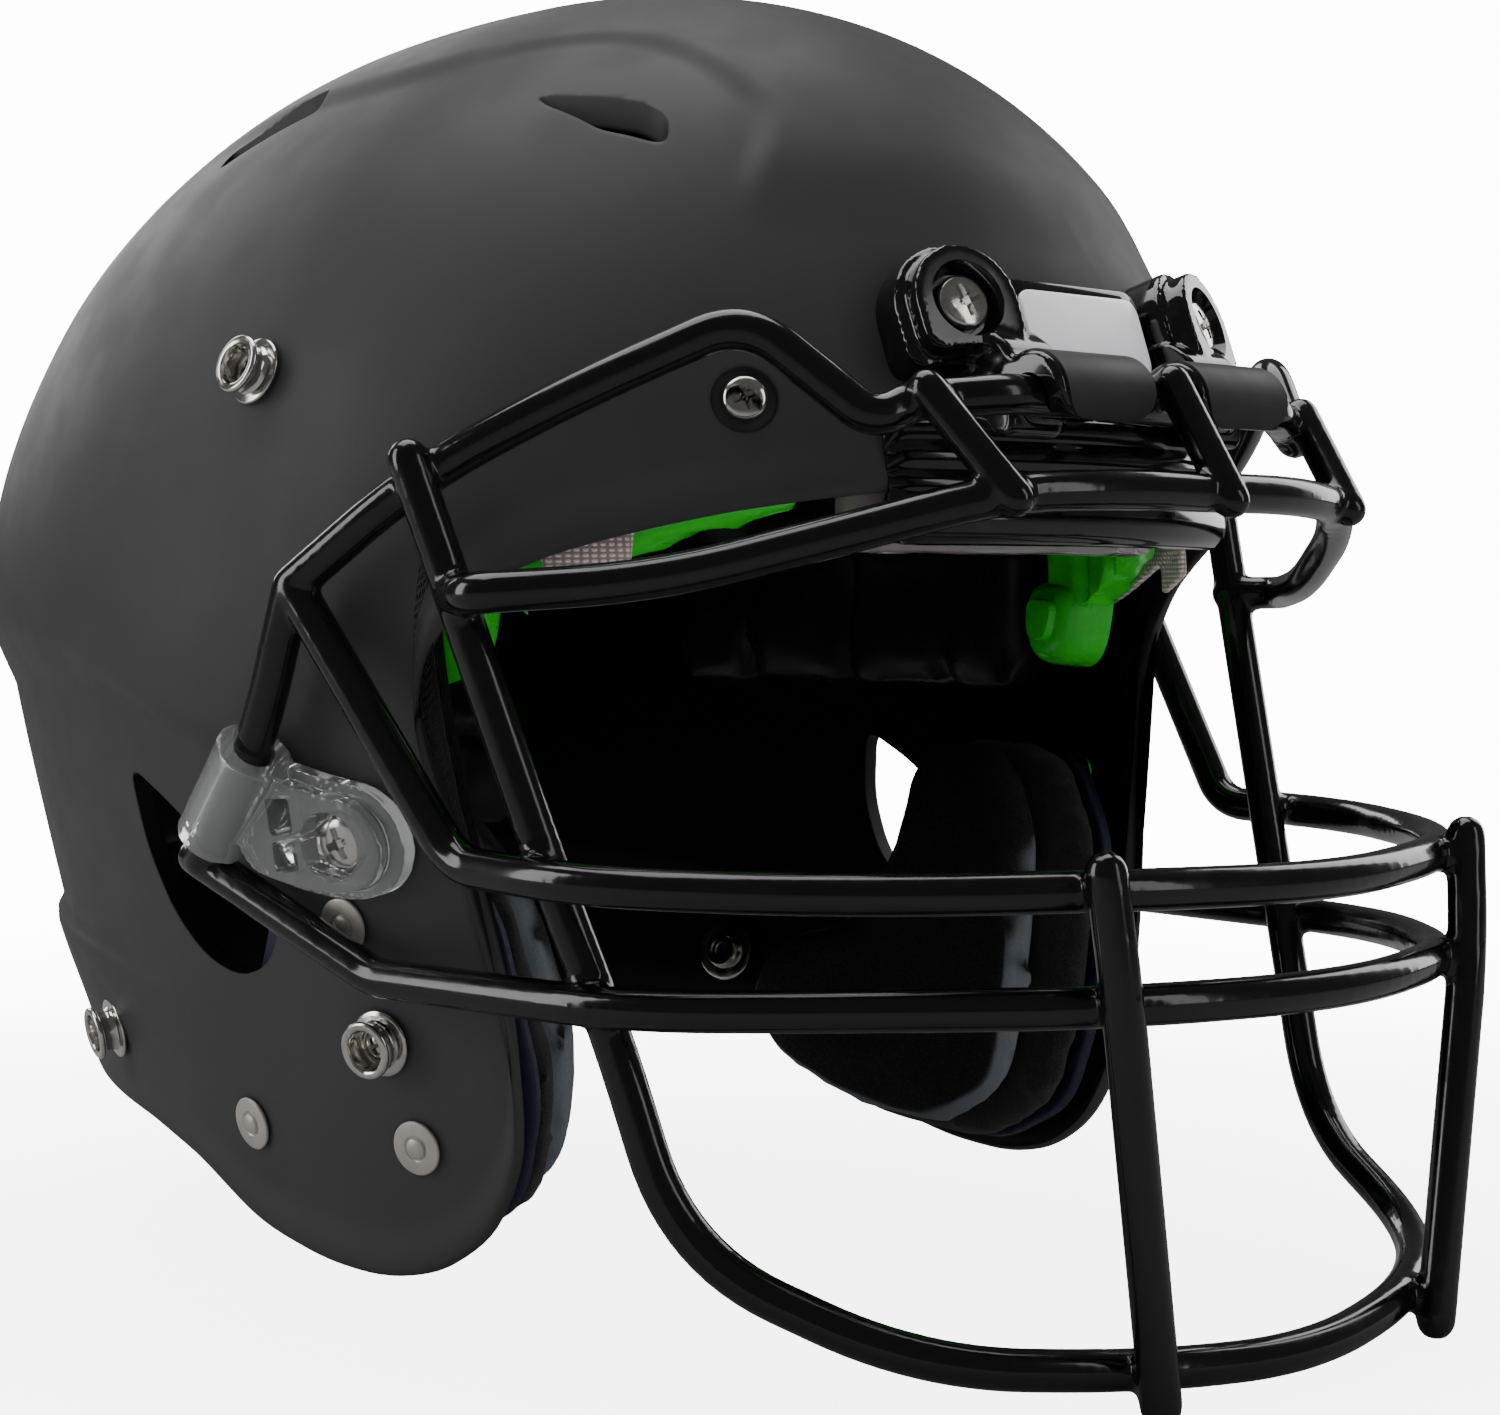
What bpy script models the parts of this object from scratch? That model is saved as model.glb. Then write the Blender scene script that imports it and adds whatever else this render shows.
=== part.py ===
"""American football helmet: a moulded shell, a welded face guard, its clips and screws, and the liner.

Run with: blender --background --python part.py
Metres in the scene; every size below is in millimetres and is scaled by MM as a mesh is made.
+Z is up, the helmet faces -Y, and +X is the wearer's left. Sizes are measured from the middle of the
head; link() moves each mesh by STAND, which puts the origin at the middle of the floor under the helmet.
"""
import math

import bmesh
import bpy
from mathutils import Matrix, Vector

MM = 0.001
STAND = Vector((0.0, 32.911, 160.470))   # from the row's origin to the middle of the head

# ---- driving dimensions -----------------------------------------------------------------------
HALF_WIDTH = 111.5          # shell, at its waist
FRONT_REACH = 111.2         # from the shell's middle station to the brow
REAR_REACH = 167.0          # from the middle station to the back
MIDDLE_Y = -33.2            # the station where the shell is widest
WAIST_Z = -26.7             # the height where the shell is widest
CROWN_RISE = 117.0          # waist to crown
CROWN_POWER = 2.13          # roundness of the dome, where 2 is an ellipse
REAR_POWER = 2.3            # roundness of the back half, seen from above
SHELL_WALL = 4.0
SEAT_GAP = 0.8              # between the true shell surface and a piece that rests on it

BAR_R = 3.5                 # guard wire with its coating
UPRIGHT_R = 3.2
SWING_Y, SWING_Z = -154.0, 6.0   # the top bar, which the guard swings on
CLIP_RUN = 0.4              # running clearance of a clip round a bar

SCREW_R = 2.1
SCREW_HOLE_R = 2.6
HEAD_R = 4.0
NUT_BORE_R = 2.5
NUT_DEEP = 3.6
NUT_TIP = SHELL_WALL + SEAT_GAP + 3.4   # how far a screw reaches in from the shell surface

PAD_INSET = SHELL_WALL + 1.4
PAD_THICK = 17.0

# Face opening and lower edge, as (y, z) from the brow's middle round to the nape's middle.
RIM = [(-141, -6.5), (-138.5, -7.5), (-132, -10), (-120, -14.5), (-109, -18.5), (-96, -22.5), (-84.5, -28),
       (-77, -37), (-74.5, -49), (-76, -63), (-79.5, -79), (-82.3, -97), (-83.5, -113), (-82, -127),
       (-75, -140), (-63, -148), (-49, -151), (-32, -150), (-13, -146), (6, -136), (25, -131), (48, -128.5),
       (72, -126), (98, -123), (119, -120)]

# Front vent on the wearer's left, seen from above, as (x, y); and the ends of the slit behind it.
VENT_OUTLINE = [(67.8, -68), (57.8, -86), (57, -91), (59.7, -94), (61.7, -92.6), (66.5, -83.5), (68.4, -71)]
SLIT_ENDS = (74.2, 19.5), (67.7, -5.0)
SLIT_HALF = 2.4

# Ear opening, as (y, z).
EAR_OUTLINE = [(8, -60), (6, -76), (0, -88), (-9, -96), (-20, -99), (-30, -96), (-36, -88), (-22, -78), (-6, -67)]

SIDE_SCREW_YZ = (-59.0, -70.5)
TOP_SCREW_XZ = (31.2, 19.5)
BROW_SCREW_XZ = (65.5, 5.5)
STUDS_YZ = {"upper": (-36.3, 12.0), "front": (-58.0, -107.5), "rear": (39.0, -115.5)}
RIVETS_YZ = {"clip": (-53.5, -86.5), "rear": (-16.0, -127.5), "front": (-62.0, -126.5)}


# ---- the shell's shape ------------------------------------------------------------------------
def section(height, offset=0.0):
    """Half width, rear reach and front reach of the level section at a height."""
    below = max(WAIST_Z - height, 0.0)
    above = min(max(height - WAIST_Z, 0.0) / (CROWN_RISE + offset), 1.0)
    ring = (1.0 - above ** CROWN_POWER) ** (1.0 / CROWN_POWER)
    half = HALF_WIDTH + offset - 0.21 * (math.hypot(below, 20.0) - 20.0)
    rear = REAR_REACH + offset - 0.26 * (math.hypot(below, 12.0) - 12.0)
    front = FRONT_REACH + offset
    return half * ring, rear * ring, front * ring


def shell_point(turn, height, offset=0.0):
    """A point on the shell: turn runs from 0 at the brow, past the wearer's left, to pi at the nape."""
    half, rear, front = section(height, offset)
    along = math.cos(turn)
    wide = math.sin(turn)
    if along > 0:
        return Vector((half * wide, MIDDLE_Y - front * along, height))
    wide = math.copysign(abs(wide) ** (2 / REAR_POWER), wide)
    return Vector((half * wide, MIDDLE_Y + rear * (-along) ** (2 / REAR_POWER), height))


def turn_at(y, height, offset=0.0):
    """The turn at which the section reaches a station y."""
    half, rear, front = section(height, offset)
    if y < MIDDLE_Y:
        return math.acos(min(1.0, (MIDDLE_Y - y) / front))
    return math.acos(-min(1.0, (y - MIDDLE_Y) / rear) ** (REAR_POWER / 2))


def side_point(y, z, offset=0.0):
    """The point on the wearer's left of the shell at a station and height."""
    return shell_point(turn_at(y, z, offset), z, offset)


def front_point(x, z, offset=0.0):
    """The point on the front of the shell at a width and height."""
    half, rear, front = section(z, offset)
    return shell_point(math.asin(max(-1.0, min(1.0, x / half))), z, offset)


def shell_normal(point):
    """The outward unit normal at a point on or near the shell."""
    def level(p):
        half, rear, front = section(p.z)
        half = max(half, 1e-3)
        reach, power = (front, 2.0) if p.y < MIDDLE_Y else (rear, REAR_POWER)
        above = max(p.z - WAIST_Z, 0.0) / CROWN_RISE
        ring = (1.0 - min(above, 0.999) ** CROWN_POWER) ** (1.0 / CROWN_POWER)
        wide, deep = abs(p.x) / half, abs(p.y - MIDDLE_Y) / max(reach, 1e-3)
        rho = (wide ** power + deep ** power) ** (1.0 / power) * ring
        return (rho ** CROWN_POWER + above ** CROWN_POWER) ** (1.0 / CROWN_POWER)
    step = 0.05
    slope = [level(point + Vector(axis) * step) - level(point - Vector(axis) * step)
             for axis in ((1, 0, 0), (0, 1, 0), (0, 0, 1))]
    return Vector(slope).normalized()


def mirrored(vector, side):
    """The vector on the wearer's left (side 1) or right (side -1)."""
    return Vector((vector.x * side, vector.y, vector.z))


SIDES = {"left": 1, "right": -1}


# ---- Blender helpers --------------------------------------------------------------------------
for thing in list(bpy.data.objects):
    bpy.data.objects.remove(thing, do_unlink=True)

helmet = bpy.data.collections.new("football_helmet")
cutters = bpy.data.collections.new("cutters")
bpy.context.scene.collection.children.link(helmet)
bpy.context.scene.collection.children.link(cutters)


def material(name, colour, roughness, metallic=0.0):
    """A Principled material."""
    made = bpy.data.materials.new(name)
    made.use_nodes = True
    shader = made.node_tree.nodes["Principled BSDF"]
    shader.inputs["Base Color"].default_value = (*colour, 1.0)
    shader.inputs["Roughness"].default_value = roughness
    shader.inputs["Metallic"].default_value = metallic
    return made


MATERIALS = {
    "shell": material("shell_polycarbonate", (0.055, 0.055, 0.057), 0.45),
    "gloss_black": material("gloss_black_plastic", (0.008, 0.008, 0.009), 0.12),
    "coated_steel": material("coated_steel", (0.006, 0.006, 0.007), 0.10),
    "white": material("white_plate", (0.80, 0.80, 0.82), 0.30),
    "clear": material("clear_plastic", (0.75, 0.77, 0.78), 0.08),
    "chrome": material("bright_steel", (0.72, 0.71, 0.69), 0.15, 1.0),
    "disc": material("rivet_disc", (0.45, 0.44, 0.42), 0.45, 0.6),
    "black_pad": material("black_pad", (0.010, 0.010, 0.012), 0.35),
    "green": material("green_cushion", (0.02, 0.42, 0.02), 0.30),
    "grey_pad": material("grey_pad", (0.30, 0.27, 0.28), 0.25),
    "foam": material("grey_foam", (0.17, 0.19, 0.21), 0.80),
    "strip": material("woven_strip", (0.62, 0.52, 0.50), 0.90),
}


def link(name, mesh, slot, where=None, smooth=True):
    """Make a named object of a mesh whose vertices are in millimetres."""
    mesh.transform(Matrix.Scale(MM, 4) @ Matrix.Translation(STAND))
    if smooth:
        mesh.shade_smooth()
        mesh.set_sharp_from_angle(angle=math.radians(35))
    made = bpy.data.objects.new(name, mesh)
    (where or helmet).objects.link(made)
    if slot:
        made.data.materials.append(MATERIALS[slot])
    else:
        made.hide_render = True
        made.display_type = "WIRE"
    return made


def mesh_of(bm, name, closed=True):
    """Turn a bmesh into a mesh; a closed one gets its faces pointing out."""
    if closed:
        bmesh.ops.recalc_face_normals(bm, faces=bm.faces)
    mesh = bpy.data.meshes.new(name)
    bm.to_mesh(mesh)
    bm.free()
    return mesh


def boolean(target, cutter, operation="DIFFERENCE"):
    """Cut a target with a cutter, or join them."""
    modifier = target.modifiers.new(cutter.name, "BOOLEAN")
    modifier.object = cutter
    modifier.operation = operation
    modifier.solver = "EXACT"


def aim(point, axis):
    """A matrix that puts local +Z along an axis, with its origin at a point."""
    turn = Vector(axis).to_track_quat("Z", "Y").to_matrix().to_4x4()
    return Matrix.Translation(point) @ turn


def rod(name, start, end, radius, slot=None, sides=14, tip_radius=None, where=None):
    """A closed cylinder or cone between two points."""
    bm = bmesh.new()
    length = (Vector(end) - Vector(start)).length
    tip = radius if tip_radius is None else tip_radius
    bmesh.ops.create_cone(bm, cap_ends=True, segments=sides, radius1=radius, radius2=tip, depth=length)
    middle = (Vector(start) + Vector(end)) / 2
    bmesh.ops.transform(bm, matrix=aim(middle, Vector(end) - Vector(start)), verts=bm.verts)
    return link(name, mesh_of(bm, name), slot, where or (helmet if slot else cutters))


def turned(name, profile, point, axis, slot, sides=16):
    """A turned piece: profile is a closed loop of (radius, height) down its outer side."""
    bm = bmesh.new()
    rings = []
    for step in range(sides):
        angle = 2 * math.pi * step / sides
        rings.append([bm.verts.new((r * math.cos(angle), r * math.sin(angle), h)) for r, h in profile])
    count = len(profile)
    for step in range(sides):
        near = rings[step]
        far = rings[(step + 1) % sides]
        for k in range(count):
            corners = [near[k], near[(k + 1) % count], far[(k + 1) % count], far[k]]
            bm.faces.new(corners)
    bmesh.ops.remove_doubles(bm, verts=bm.verts, dist=1e-4)
    bmesh.ops.transform(bm, matrix=aim(point, axis), verts=bm.verts)
    return link(name, mesh_of(bm, name), slot)


def prism(name, outline, axis, low, high, slot=None, where=None):
    """An outline, given in the other two axes in order, pushed along an axis from low to high."""
    bm = bmesh.new()

    def corner(pair, depth):
        place = list(pair)
        place.insert("XYZ".index(axis), depth)
        return bm.verts.new(place)
    face = bm.faces.new([corner(pair, low) for pair in outline])
    pushed = bmesh.ops.extrude_face_region(bm, geom=[face])
    shift = [0.0, 0.0, 0.0]
    shift["XYZ".index(axis)] = high - low
    moved = [item for item in pushed["geom"] if isinstance(item, bmesh.types.BMVert)]
    bmesh.ops.translate(bm, vec=shift, verts=moved)
    return link(name, mesh_of(bm, name), slot, where or (helmet if slot else cutters))


def rounded(outline, radius, steps=3):
    """The outline with each corner rounded."""
    made = []
    count = len(outline)
    for k in range(count):
        here = Vector(outline[k]).to_3d()
        before = Vector(outline[k - 1]).to_3d()
        after = Vector(outline[(k + 1) % count]).to_3d()
        first = (before - here).normalized() * min(radius, (before - here).length * 0.45)
        last = (after - here).normalized() * min(radius, (after - here).length * 0.45)
        for step in range(steps + 1):
            t = step / steps
            spot = (here + first) * (1 - t) ** 2 + here * 2 * t * (1 - t) + (here + last) * t ** 2
            made.append((spot.x, spot.y))
    return made


def rectangle(low_a, high_a, low_b, high_b):
    """A four-cornered outline."""
    return [(low_a, low_b), (high_a, low_b), (high_a, high_b), (low_a, high_b)]


def envelope(name, offset, turns=40, rows=11, floor=-200.0):
    """A closed solid with the shell's outer shape, grown by an offset, used to cut other pieces."""
    bm = bmesh.new()
    levels = [floor, -150.0, -110.0, -70.0]
    levels += [WAIST_Z + (CROWN_RISE + offset) * math.sin(0.5 * math.pi * k / rows) for k in range(rows)]
    rings = []
    for level in levels:
        ring = []
        for k in range(turns):
            angle = 2 * math.pi * (k + 0.5) / turns
            ring.append(bm.verts.new(shell_point(angle, level, offset)))
        rings.append(ring)
    for lower, upper in zip(rings[:-1], rings[1:]):
        for k in range(turns):
            j = (k + 1) % turns
            bm.faces.new((lower[k], lower[j], upper[j], upper[k]))
    bm.faces.new(rings[0][::-1])
    crown = bm.verts.new((0, MIDDLE_Y, WAIST_Z + CROWN_RISE + offset))
    for k in range(turns):
        bm.faces.new((rings[-1][k], rings[-1][(k + 1) % turns], crown))
    return link(name, mesh_of(bm, name), None, cutters)


outside = envelope("outside", SEAT_GAP)


def patch(name, outline, axis, low, high, deep, proud, slot):
    """A curved piece that lies between two offsets of the shell and inside an outline."""
    made = prism(name, outline, axis, low, high, slot)
    boolean(made, envelope(name + "_face", proud), "INTERSECT")
    boolean(made, envelope(name + "_back", deep), "DIFFERENCE")
    return made


# ---- the shell --------------------------------------------------------------------------------
def rim_points(count):
    """Points along the rim, evenly spaced by length on the shell."""
    points = [side_point(y, z) for y, z in RIM]
    points[0].x = 0.0
    points[-1] = shell_point(math.pi, RIM[-1][1])
    lengths = [0.0]
    for a, b in zip(points[:-1], points[1:]):
        lengths.append(lengths[-1] + (b - a).length)
    found = []
    for k in range(count + 1):
        want = lengths[-1] * k / count
        span = max(j for j in range(len(points)) if lengths[j] <= want + 1e-6)
        span = min(span, len(points) - 2)
        part = (want - lengths[span]) / (lengths[span + 1] - lengths[span])
        y = RIM[span][0] * (1 - part) + RIM[span + 1][0] * part
        z = RIM[span][1] * (1 - part) + RIM[span + 1][1] * part
        found.append((turn_at(y, z), z))
    found[0] = (0.0, RIM[0][1])
    found[-1] = (math.pi, RIM[-1][1])
    return found


def rise_of(z):
    """A height as an angle: level at the waist, a quarter turn at the crown."""
    if z < WAIST_Z:
        return (z - WAIST_Z) / CROWN_RISE
    return math.asin(min((z - WAIST_Z) / CROWN_RISE, 1.0))


def height_of(rise):
    """The height for such an angle."""
    if rise < 0:
        return WAIST_Z + CROWN_RISE * rise
    return WAIST_Z + CROWN_RISE * math.sin(rise)


def make_shell(columns=30, rows=14):
    """Half of the skin from the rim up to the crown, mirrored and given its wall."""
    bm = bmesh.new()
    crown = bm.verts.new((0, MIDDLE_Y, WAIST_Z + CROWN_RISE))
    rim = rim_points(columns)
    grid = []
    for k, (turn, z) in enumerate(rim):
        target = math.pi * k / columns
        start = rise_of(z)
        column = []
        for row in range(rows):
            t = row / rows
            ease = min(1.0, t * 1.6)
            rise = start + (math.pi / 2 - start) * t
            spot = shell_point(turn + (target - turn) * ease, height_of(rise))
            if k in (0, columns):
                spot.x = 0.0
            column.append(bm.verts.new(spot))
        grid.append(column)
    for left, right in zip(grid[:-1], grid[1:]):
        for row in range(rows - 1):
            bm.faces.new((left[row], right[row], right[row + 1], left[row + 1]))
        bm.faces.new((left[-1], right[-1], crown))
    shell = link("outer_shell", mesh_of(bm, "outer_shell", closed=False), "shell")
    mirror = shell.modifiers.new("mirror", "MIRROR")
    mirror.merge_threshold = 0.0001
    wall = shell.modifiers.new("wall", "SOLIDIFY")
    wall.thickness = SHELL_WALL * MM
    wall.offset = -1.0
    return shell


shell = make_shell()
boolean(shell, prism("ear_cut", rounded(EAR_OUTLINE, 5.0, 2), "X", -130, 130))
for side, sign in SIDES.items():
    outline = [(x * sign, y) for x, y in rounded(VENT_OUTLINE, 2.0, 2)]
    boolean(shell, prism(f"vent_cut_{side}", outline, "Z", 40, 100))
    ends = [Vector((x * sign, y)) for x, y in SLIT_ENDS]
    across_slit = (ends[1] - ends[0]).normalized().orthogonal() * SLIT_HALF
    outline = [ends[0] - across_slit, ends[0] + across_slit, ends[1] + across_slit, ends[1] - across_slit]
    boolean(shell, prism(f"slit_cut_{side}", rounded([tuple(spot) for spot in outline], 2.0, 2), "Z", 30, 100))


def screw_hole(target, point, axis, radius=SCREW_HOLE_R):
    """Drill a target through a point along an axis."""
    reach = Vector(axis) * 25.0
    boolean(target, rod(target.name + "_hole", point - reach, point + reach, radius, sides=8))


# ---- fasteners --------------------------------------------------------------------------------
def screw(name, skin_point, axis, seat, head_r=HEAD_R, head_h=2.6):
    """A pan-head screw whose head sits at a height above the shell and whose tip reaches its nut."""
    shank = seat + NUT_TIP
    profile = [(0.0, head_h), (head_r * 0.55, head_h), (head_r, head_h * 0.45), (head_r, 0.0),
               (SCREW_R, 0.0), (SCREW_R, -shank), (0.0, -shank)]
    return turned(name, profile, skin_point + Vector(axis) * seat, axis, "chrome", 9)


def flanged_nut(name, skin_point, axis):
    """A T-nut whose flange lies against the inside of the shell."""
    seat = skin_point - Vector(axis) * (SHELL_WALL + SEAT_GAP + 0.4)
    profile = [(6.6, 0.0), (6.6, -1.2), (4.0, -1.2), (4.0, -NUT_DEEP), (NUT_BORE_R, -NUT_DEEP), (NUT_BORE_R, 0.0)]
    return turned(name, profile, seat, axis, "chrome", 8)


def snap_stud(name, skin_point, axis):
    """A chin-strap stud: a wide foot, a waist and a rolled ring round a bore."""
    foot = skin_point + Vector(axis) * SEAT_GAP
    profile = [(5.4, 5.2), (5.4, 3.9), (4.3, 3.0), (4.3, 1.8), (5.9, 1.4), (5.9, 0.0),
               (2.6, 0.0), (2.6, 1.6), (3.4, 1.8), (3.4, 5.2)]
    return turned(name, profile, foot, axis, "chrome", 12)


def rivet(name, skin_point, axis):
    """A rivet with a wide flat disc outside and its tail clenched inside."""
    seat = skin_point + Vector(axis) * SEAT_GAP
    tail = -(SHELL_WALL + 2 * SEAT_GAP)
    profile = [(0.0, 1.4), (1.8, 1.2), (2.0, 0.8), (4.7, 0.8), (4.7, 0.0), (1.8, 0.0), (1.8, tail),
               (3.6, tail), (3.6, tail - 1.0), (0.0, tail - 1.0)]
    return turned(name, profile, seat, axis, "disc", 9)


for side, sign in SIDES.items():
    for place, (y, z) in STUDS_YZ.items():
        skin = mirrored(side_point(y, z), sign)
        normal = shell_normal(skin)
        snap_stud(f"{place}_snap_stud_{side}", skin, normal)
        screw(f"{place}_stud_screw_{side}", skin, normal, SEAT_GAP + 2.1, 2.8, 1.4)
        flanged_nut(f"{place}_stud_nut_{side}", skin, normal)
        screw_hole(shell, skin, normal)
    for place, (y, z) in RIVETS_YZ.items():
        skin = mirrored(side_point(y, z), sign)
        normal = shell_normal(skin)
        rivet(f"jaw_rivet_{place}_{side}", skin, normal)
        screw_hole(shell, skin, normal, 2.2)
    skin = mirrored(front_point(*BROW_SCREW_XZ), sign)
    normal = shell_normal(skin)
    screw(f"brow_screw_{side}", skin, normal, SEAT_GAP)
    screw_hole(shell, skin, normal)
    flanged_nut(f"brow_nut_{side}", skin, normal)


# ---- the face guard ---------------------------------------------------------------------------
# Each bar is a list of (x, y, z, bend radius), on the wearer's left, ending at the middle or not.
TOP_BAR = [(117, -60.5, -26, 0), (109.5, -84, -8.5, 40), (95.5, -106.5, 5, 60), (74, -127.3, 18.3, 14),
           (60.5, -144, 1, 10), (53, -146, 4.5, 8), (38, SWING_Y, SWING_Z, 10), (0, SWING_Y, SWING_Z, 0)]
EYE_BAR = [(108, -93, -27.5, 0), (113, -103, -27.5, 6), (91, -124.5, -25.5, 30), (65.6, -149, -16.5, 60),
           (48, -161, -11, 30), (25, -168, -10, 50), (0, -169, -10, 0)]
NOSE_BAR = [(117, -60.5, -26, 0), (107.3, -92.4, -73, 12), (107.5, -125, -74.2, 25), (84, -159.5, -75, 50),
            (50, -183.2, -75, 60), (0, -193.5, -76, 0)]
MOUTH_BAR = [(112, -24, -75.5, 0), (104, -66, -94.5, 14), (99.5, -126, -95, 25), (81.5, -154, -94, 50),
             (50, -185.2, -93.5, 60), (0, -196, -94, 0)]
CHIN_BAR = [(112.4, -86.5, -5, 0), (100.3, -109, -75, 60), (95.2, -117.8, -100, 60), (90, -128.5, -136, 20),
            (72, -165, -151, 26), (40, -184, -154, 40), (0, -190, -157, 0)]
HANGER_BAR = [(117, -60.5, -26, 0), (115.6, -48, -54, 20), (112.2, -26, -76, 0)]
FRONT_BAR = [(52.5, -186.8, -71.5, 0), (50.5, -188.8, -93, 60), (40.5, -189, -158.5, 0)]
BROW_POST = [(53.5, -149.5, 6.5, 0), (48, -164.2, -12, 0)]
MIDDLE_POST = [(0, -159.5, 9.5, 0), (0, -172.5, -11.5, 0)]


def bent(points, steps=3):
    """The centre line of a bar with each corner turned into a bend."""
    line = [Vector(points[0][:3])]
    for k in range(1, len(points) - 1):
        here = Vector(points[k][:3])
        before = Vector(points[k - 1][:3]) - here
        after = Vector(points[k + 1][:3]) - here
        corner = before.angle(after)
        reach = points[k][3] / math.tan(corner / 2)
        reach = min(reach, before.length * 0.48, after.length * 0.48)
        first = here + before.normalized() * reach
        last = here + after.normalized() * reach
        for step in range(steps + 1):
            t = step / steps
            line.append(first * (1 - t) ** 2 + here * 2 * t * (1 - t) + last * t ** 2)
    line.append(Vector(points[-1][:3]))
    return line


def across(points):
    """A bar that runs from one side of the guard to the other."""
    half = bent(points)
    return half[:-1] + [mirrored(spot, -1) for spot in reversed(half)]


def wire(name, line, radius):
    """A solid round bar along a line."""
    curve = bpy.data.curves.new(name, "CURVE")
    curve.dimensions = "3D"
    curve.bevel_depth = radius
    curve.bevel_resolution = 2
    curve.use_fill_caps = True
    spline = curve.splines.new("POLY")
    spline.points.add(len(line) - 1)
    for knot, spot in zip(spline.points, line):
        knot.co = (*spot, 1.0)
    drawn = bpy.data.objects.new(name, curve)
    helmet.objects.link(drawn)
    bpy.context.view_layer.update()
    evaluated = drawn.evaluated_get(bpy.context.evaluated_depsgraph_get())
    mesh = bpy.data.meshes.new_from_object(evaluated)
    bm = bmesh.new()
    bm.from_mesh(mesh)
    bmesh.ops.remove_doubles(bm, verts=bm.verts, dist=1e-3)
    bpy.data.objects.remove(drawn)
    return mesh_of(bm, name)


def make_guard():
    """The whole guard, welded from its bars."""
    guard = link("face_guard", wire("top_bar", across(TOP_BAR), BAR_R), "coated_steel")
    for name, points in (("eye_bar", EYE_BAR), ("nose_bar", NOSE_BAR), ("mouth_bar", MOUTH_BAR),
                         ("chin_bar", CHIN_BAR)):
        boolean(guard, link(name, wire(name, across(points), BAR_R), None, cutters), "UNION")
    for side, sign in SIDES.items():
        for name, points, radius in (("hanger_bar", HANGER_BAR, BAR_R), ("front_bar", FRONT_BAR, BAR_R),
                                     ("brow_post", BROW_POST, UPRIGHT_R)):
            line = [mirrored(spot, sign) for spot in bent(points)]
            boolean(guard, link(f"{name}_{side}", wire(name, line, radius), None, cutters), "UNION")
    boolean(guard, link("middle_post", wire("middle_post", bent(MIDDLE_POST), UPRIGHT_R), None, cutters), "UNION")
    return guard


make_guard()


# ---- the clips that hold the guard ------------------------------------------------------------
def head_recess(target, under_head, axis):
    """Room for a screw's head and its driver above a seat."""
    axis = Vector(axis)
    boolean(target, rod(target.name + "_recess", under_head - axis * 0.4, under_head + axis * 20.0,
                        HEAD_R + 1.2, sides=12))


def make_top_clip(side, sign):
    """A tower that is screwed to the shell, and a tongue that wraps the top bar."""
    name = f"top_clip_{side}"
    skin = mirrored(front_point(*TOP_SCREW_XZ), sign)
    normal = shell_normal(skin)
    clip = rod(name, skin - normal * 2.0, skin + normal * 11.0, 12.2, "gloss_black", 18, 10.6)
    pivot = Vector((0.0, SWING_Y, SWING_Z))
    low, high = sorted((6.0 * sign, 33.0 * sign))
    tongue = rod(name + "_tongue", pivot + Vector((low, 0, 0)), pivot + Vector((high, 0, 0)), 7.8, sides=16)
    boolean(clip, tongue, "UNION")
    low, high = sorted((20.0 * sign, 32.4 * sign))
    strap = prism(name + "_strap", [(-154, -1.6), (-130, -1.0), (-126, 14), (-146, 20), (-154, 13.6)],
                  "X", low, high)
    boolean(clip, strap, "UNION")
    boolean(clip, outside)
    half = 60.0
    boolean(clip, rod(name + "_bore", pivot - Vector((half, 0, 0)), pivot + Vector((half, 0, 0)),
                      BAR_R + CLIP_RUN, sides=16))
    seat = 7.0
    head_recess(clip, skin + normal * seat, normal)
    screw_hole(clip, skin, normal)
    screw_hole(shell, skin, normal)
    screw(f"top_clip_screw_{side}", skin, normal, seat, HEAD_R + 0.5)
    flanged_nut(f"top_clip_nut_{side}", skin, normal)
    return clip


def make_side_clip(side, sign):
    """A clear block: a barrel round the hanger bar, and a foot that is screwed to the shell."""
    name = f"side_clip_{side}"
    skin = mirrored(side_point(*SIDE_SCREW_YZ), sign)
    normal = shell_normal(skin)
    upper = mirrored(Vector(HANGER_BAR[1][:3]), sign)
    lower = mirrored(Vector(HANGER_BAR[2][:3]), sign)
    along = (lower - upper).normalized()
    clip = rod(name, upper + along * 2.0, upper + along * 24.5, 6.8, "clear", 14)
    outline = rounded([(-36, -50), (-60, -59.5), (-76, -66), (-74, -77), (-60, -81.5), (-38, -74)], 7.0, 3)
    low, high = sorted((90.0 * sign, 116.0 * sign))
    foot = prism(name + "_foot", outline, "X", low, high)
    boolean(foot, rod(name + "_trim", skin + normal * 8.0, skin + normal * 60.0, 90.0, sides=8))
    boolean(clip, foot, "UNION")
    boolean(clip, outside)
    boolean(clip, rod(name + "_bore", upper - along * 20.0, lower + along * 20.0, BAR_R + CLIP_RUN, sides=14))
    seat = 1.9
    head_recess(clip, skin + normal * seat, normal)
    screw_hole(clip, skin, normal)
    screw_hole(shell, skin, normal)
    screw(f"side_screw_{side}", skin, normal, seat, HEAD_R, 2.2)
    flanged_nut(f"side_nut_{side}", skin, normal)
    return clip


for side, sign in SIDES.items():
    make_top_clip(side, sign)
    make_side_clip(side, sign)


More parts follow.
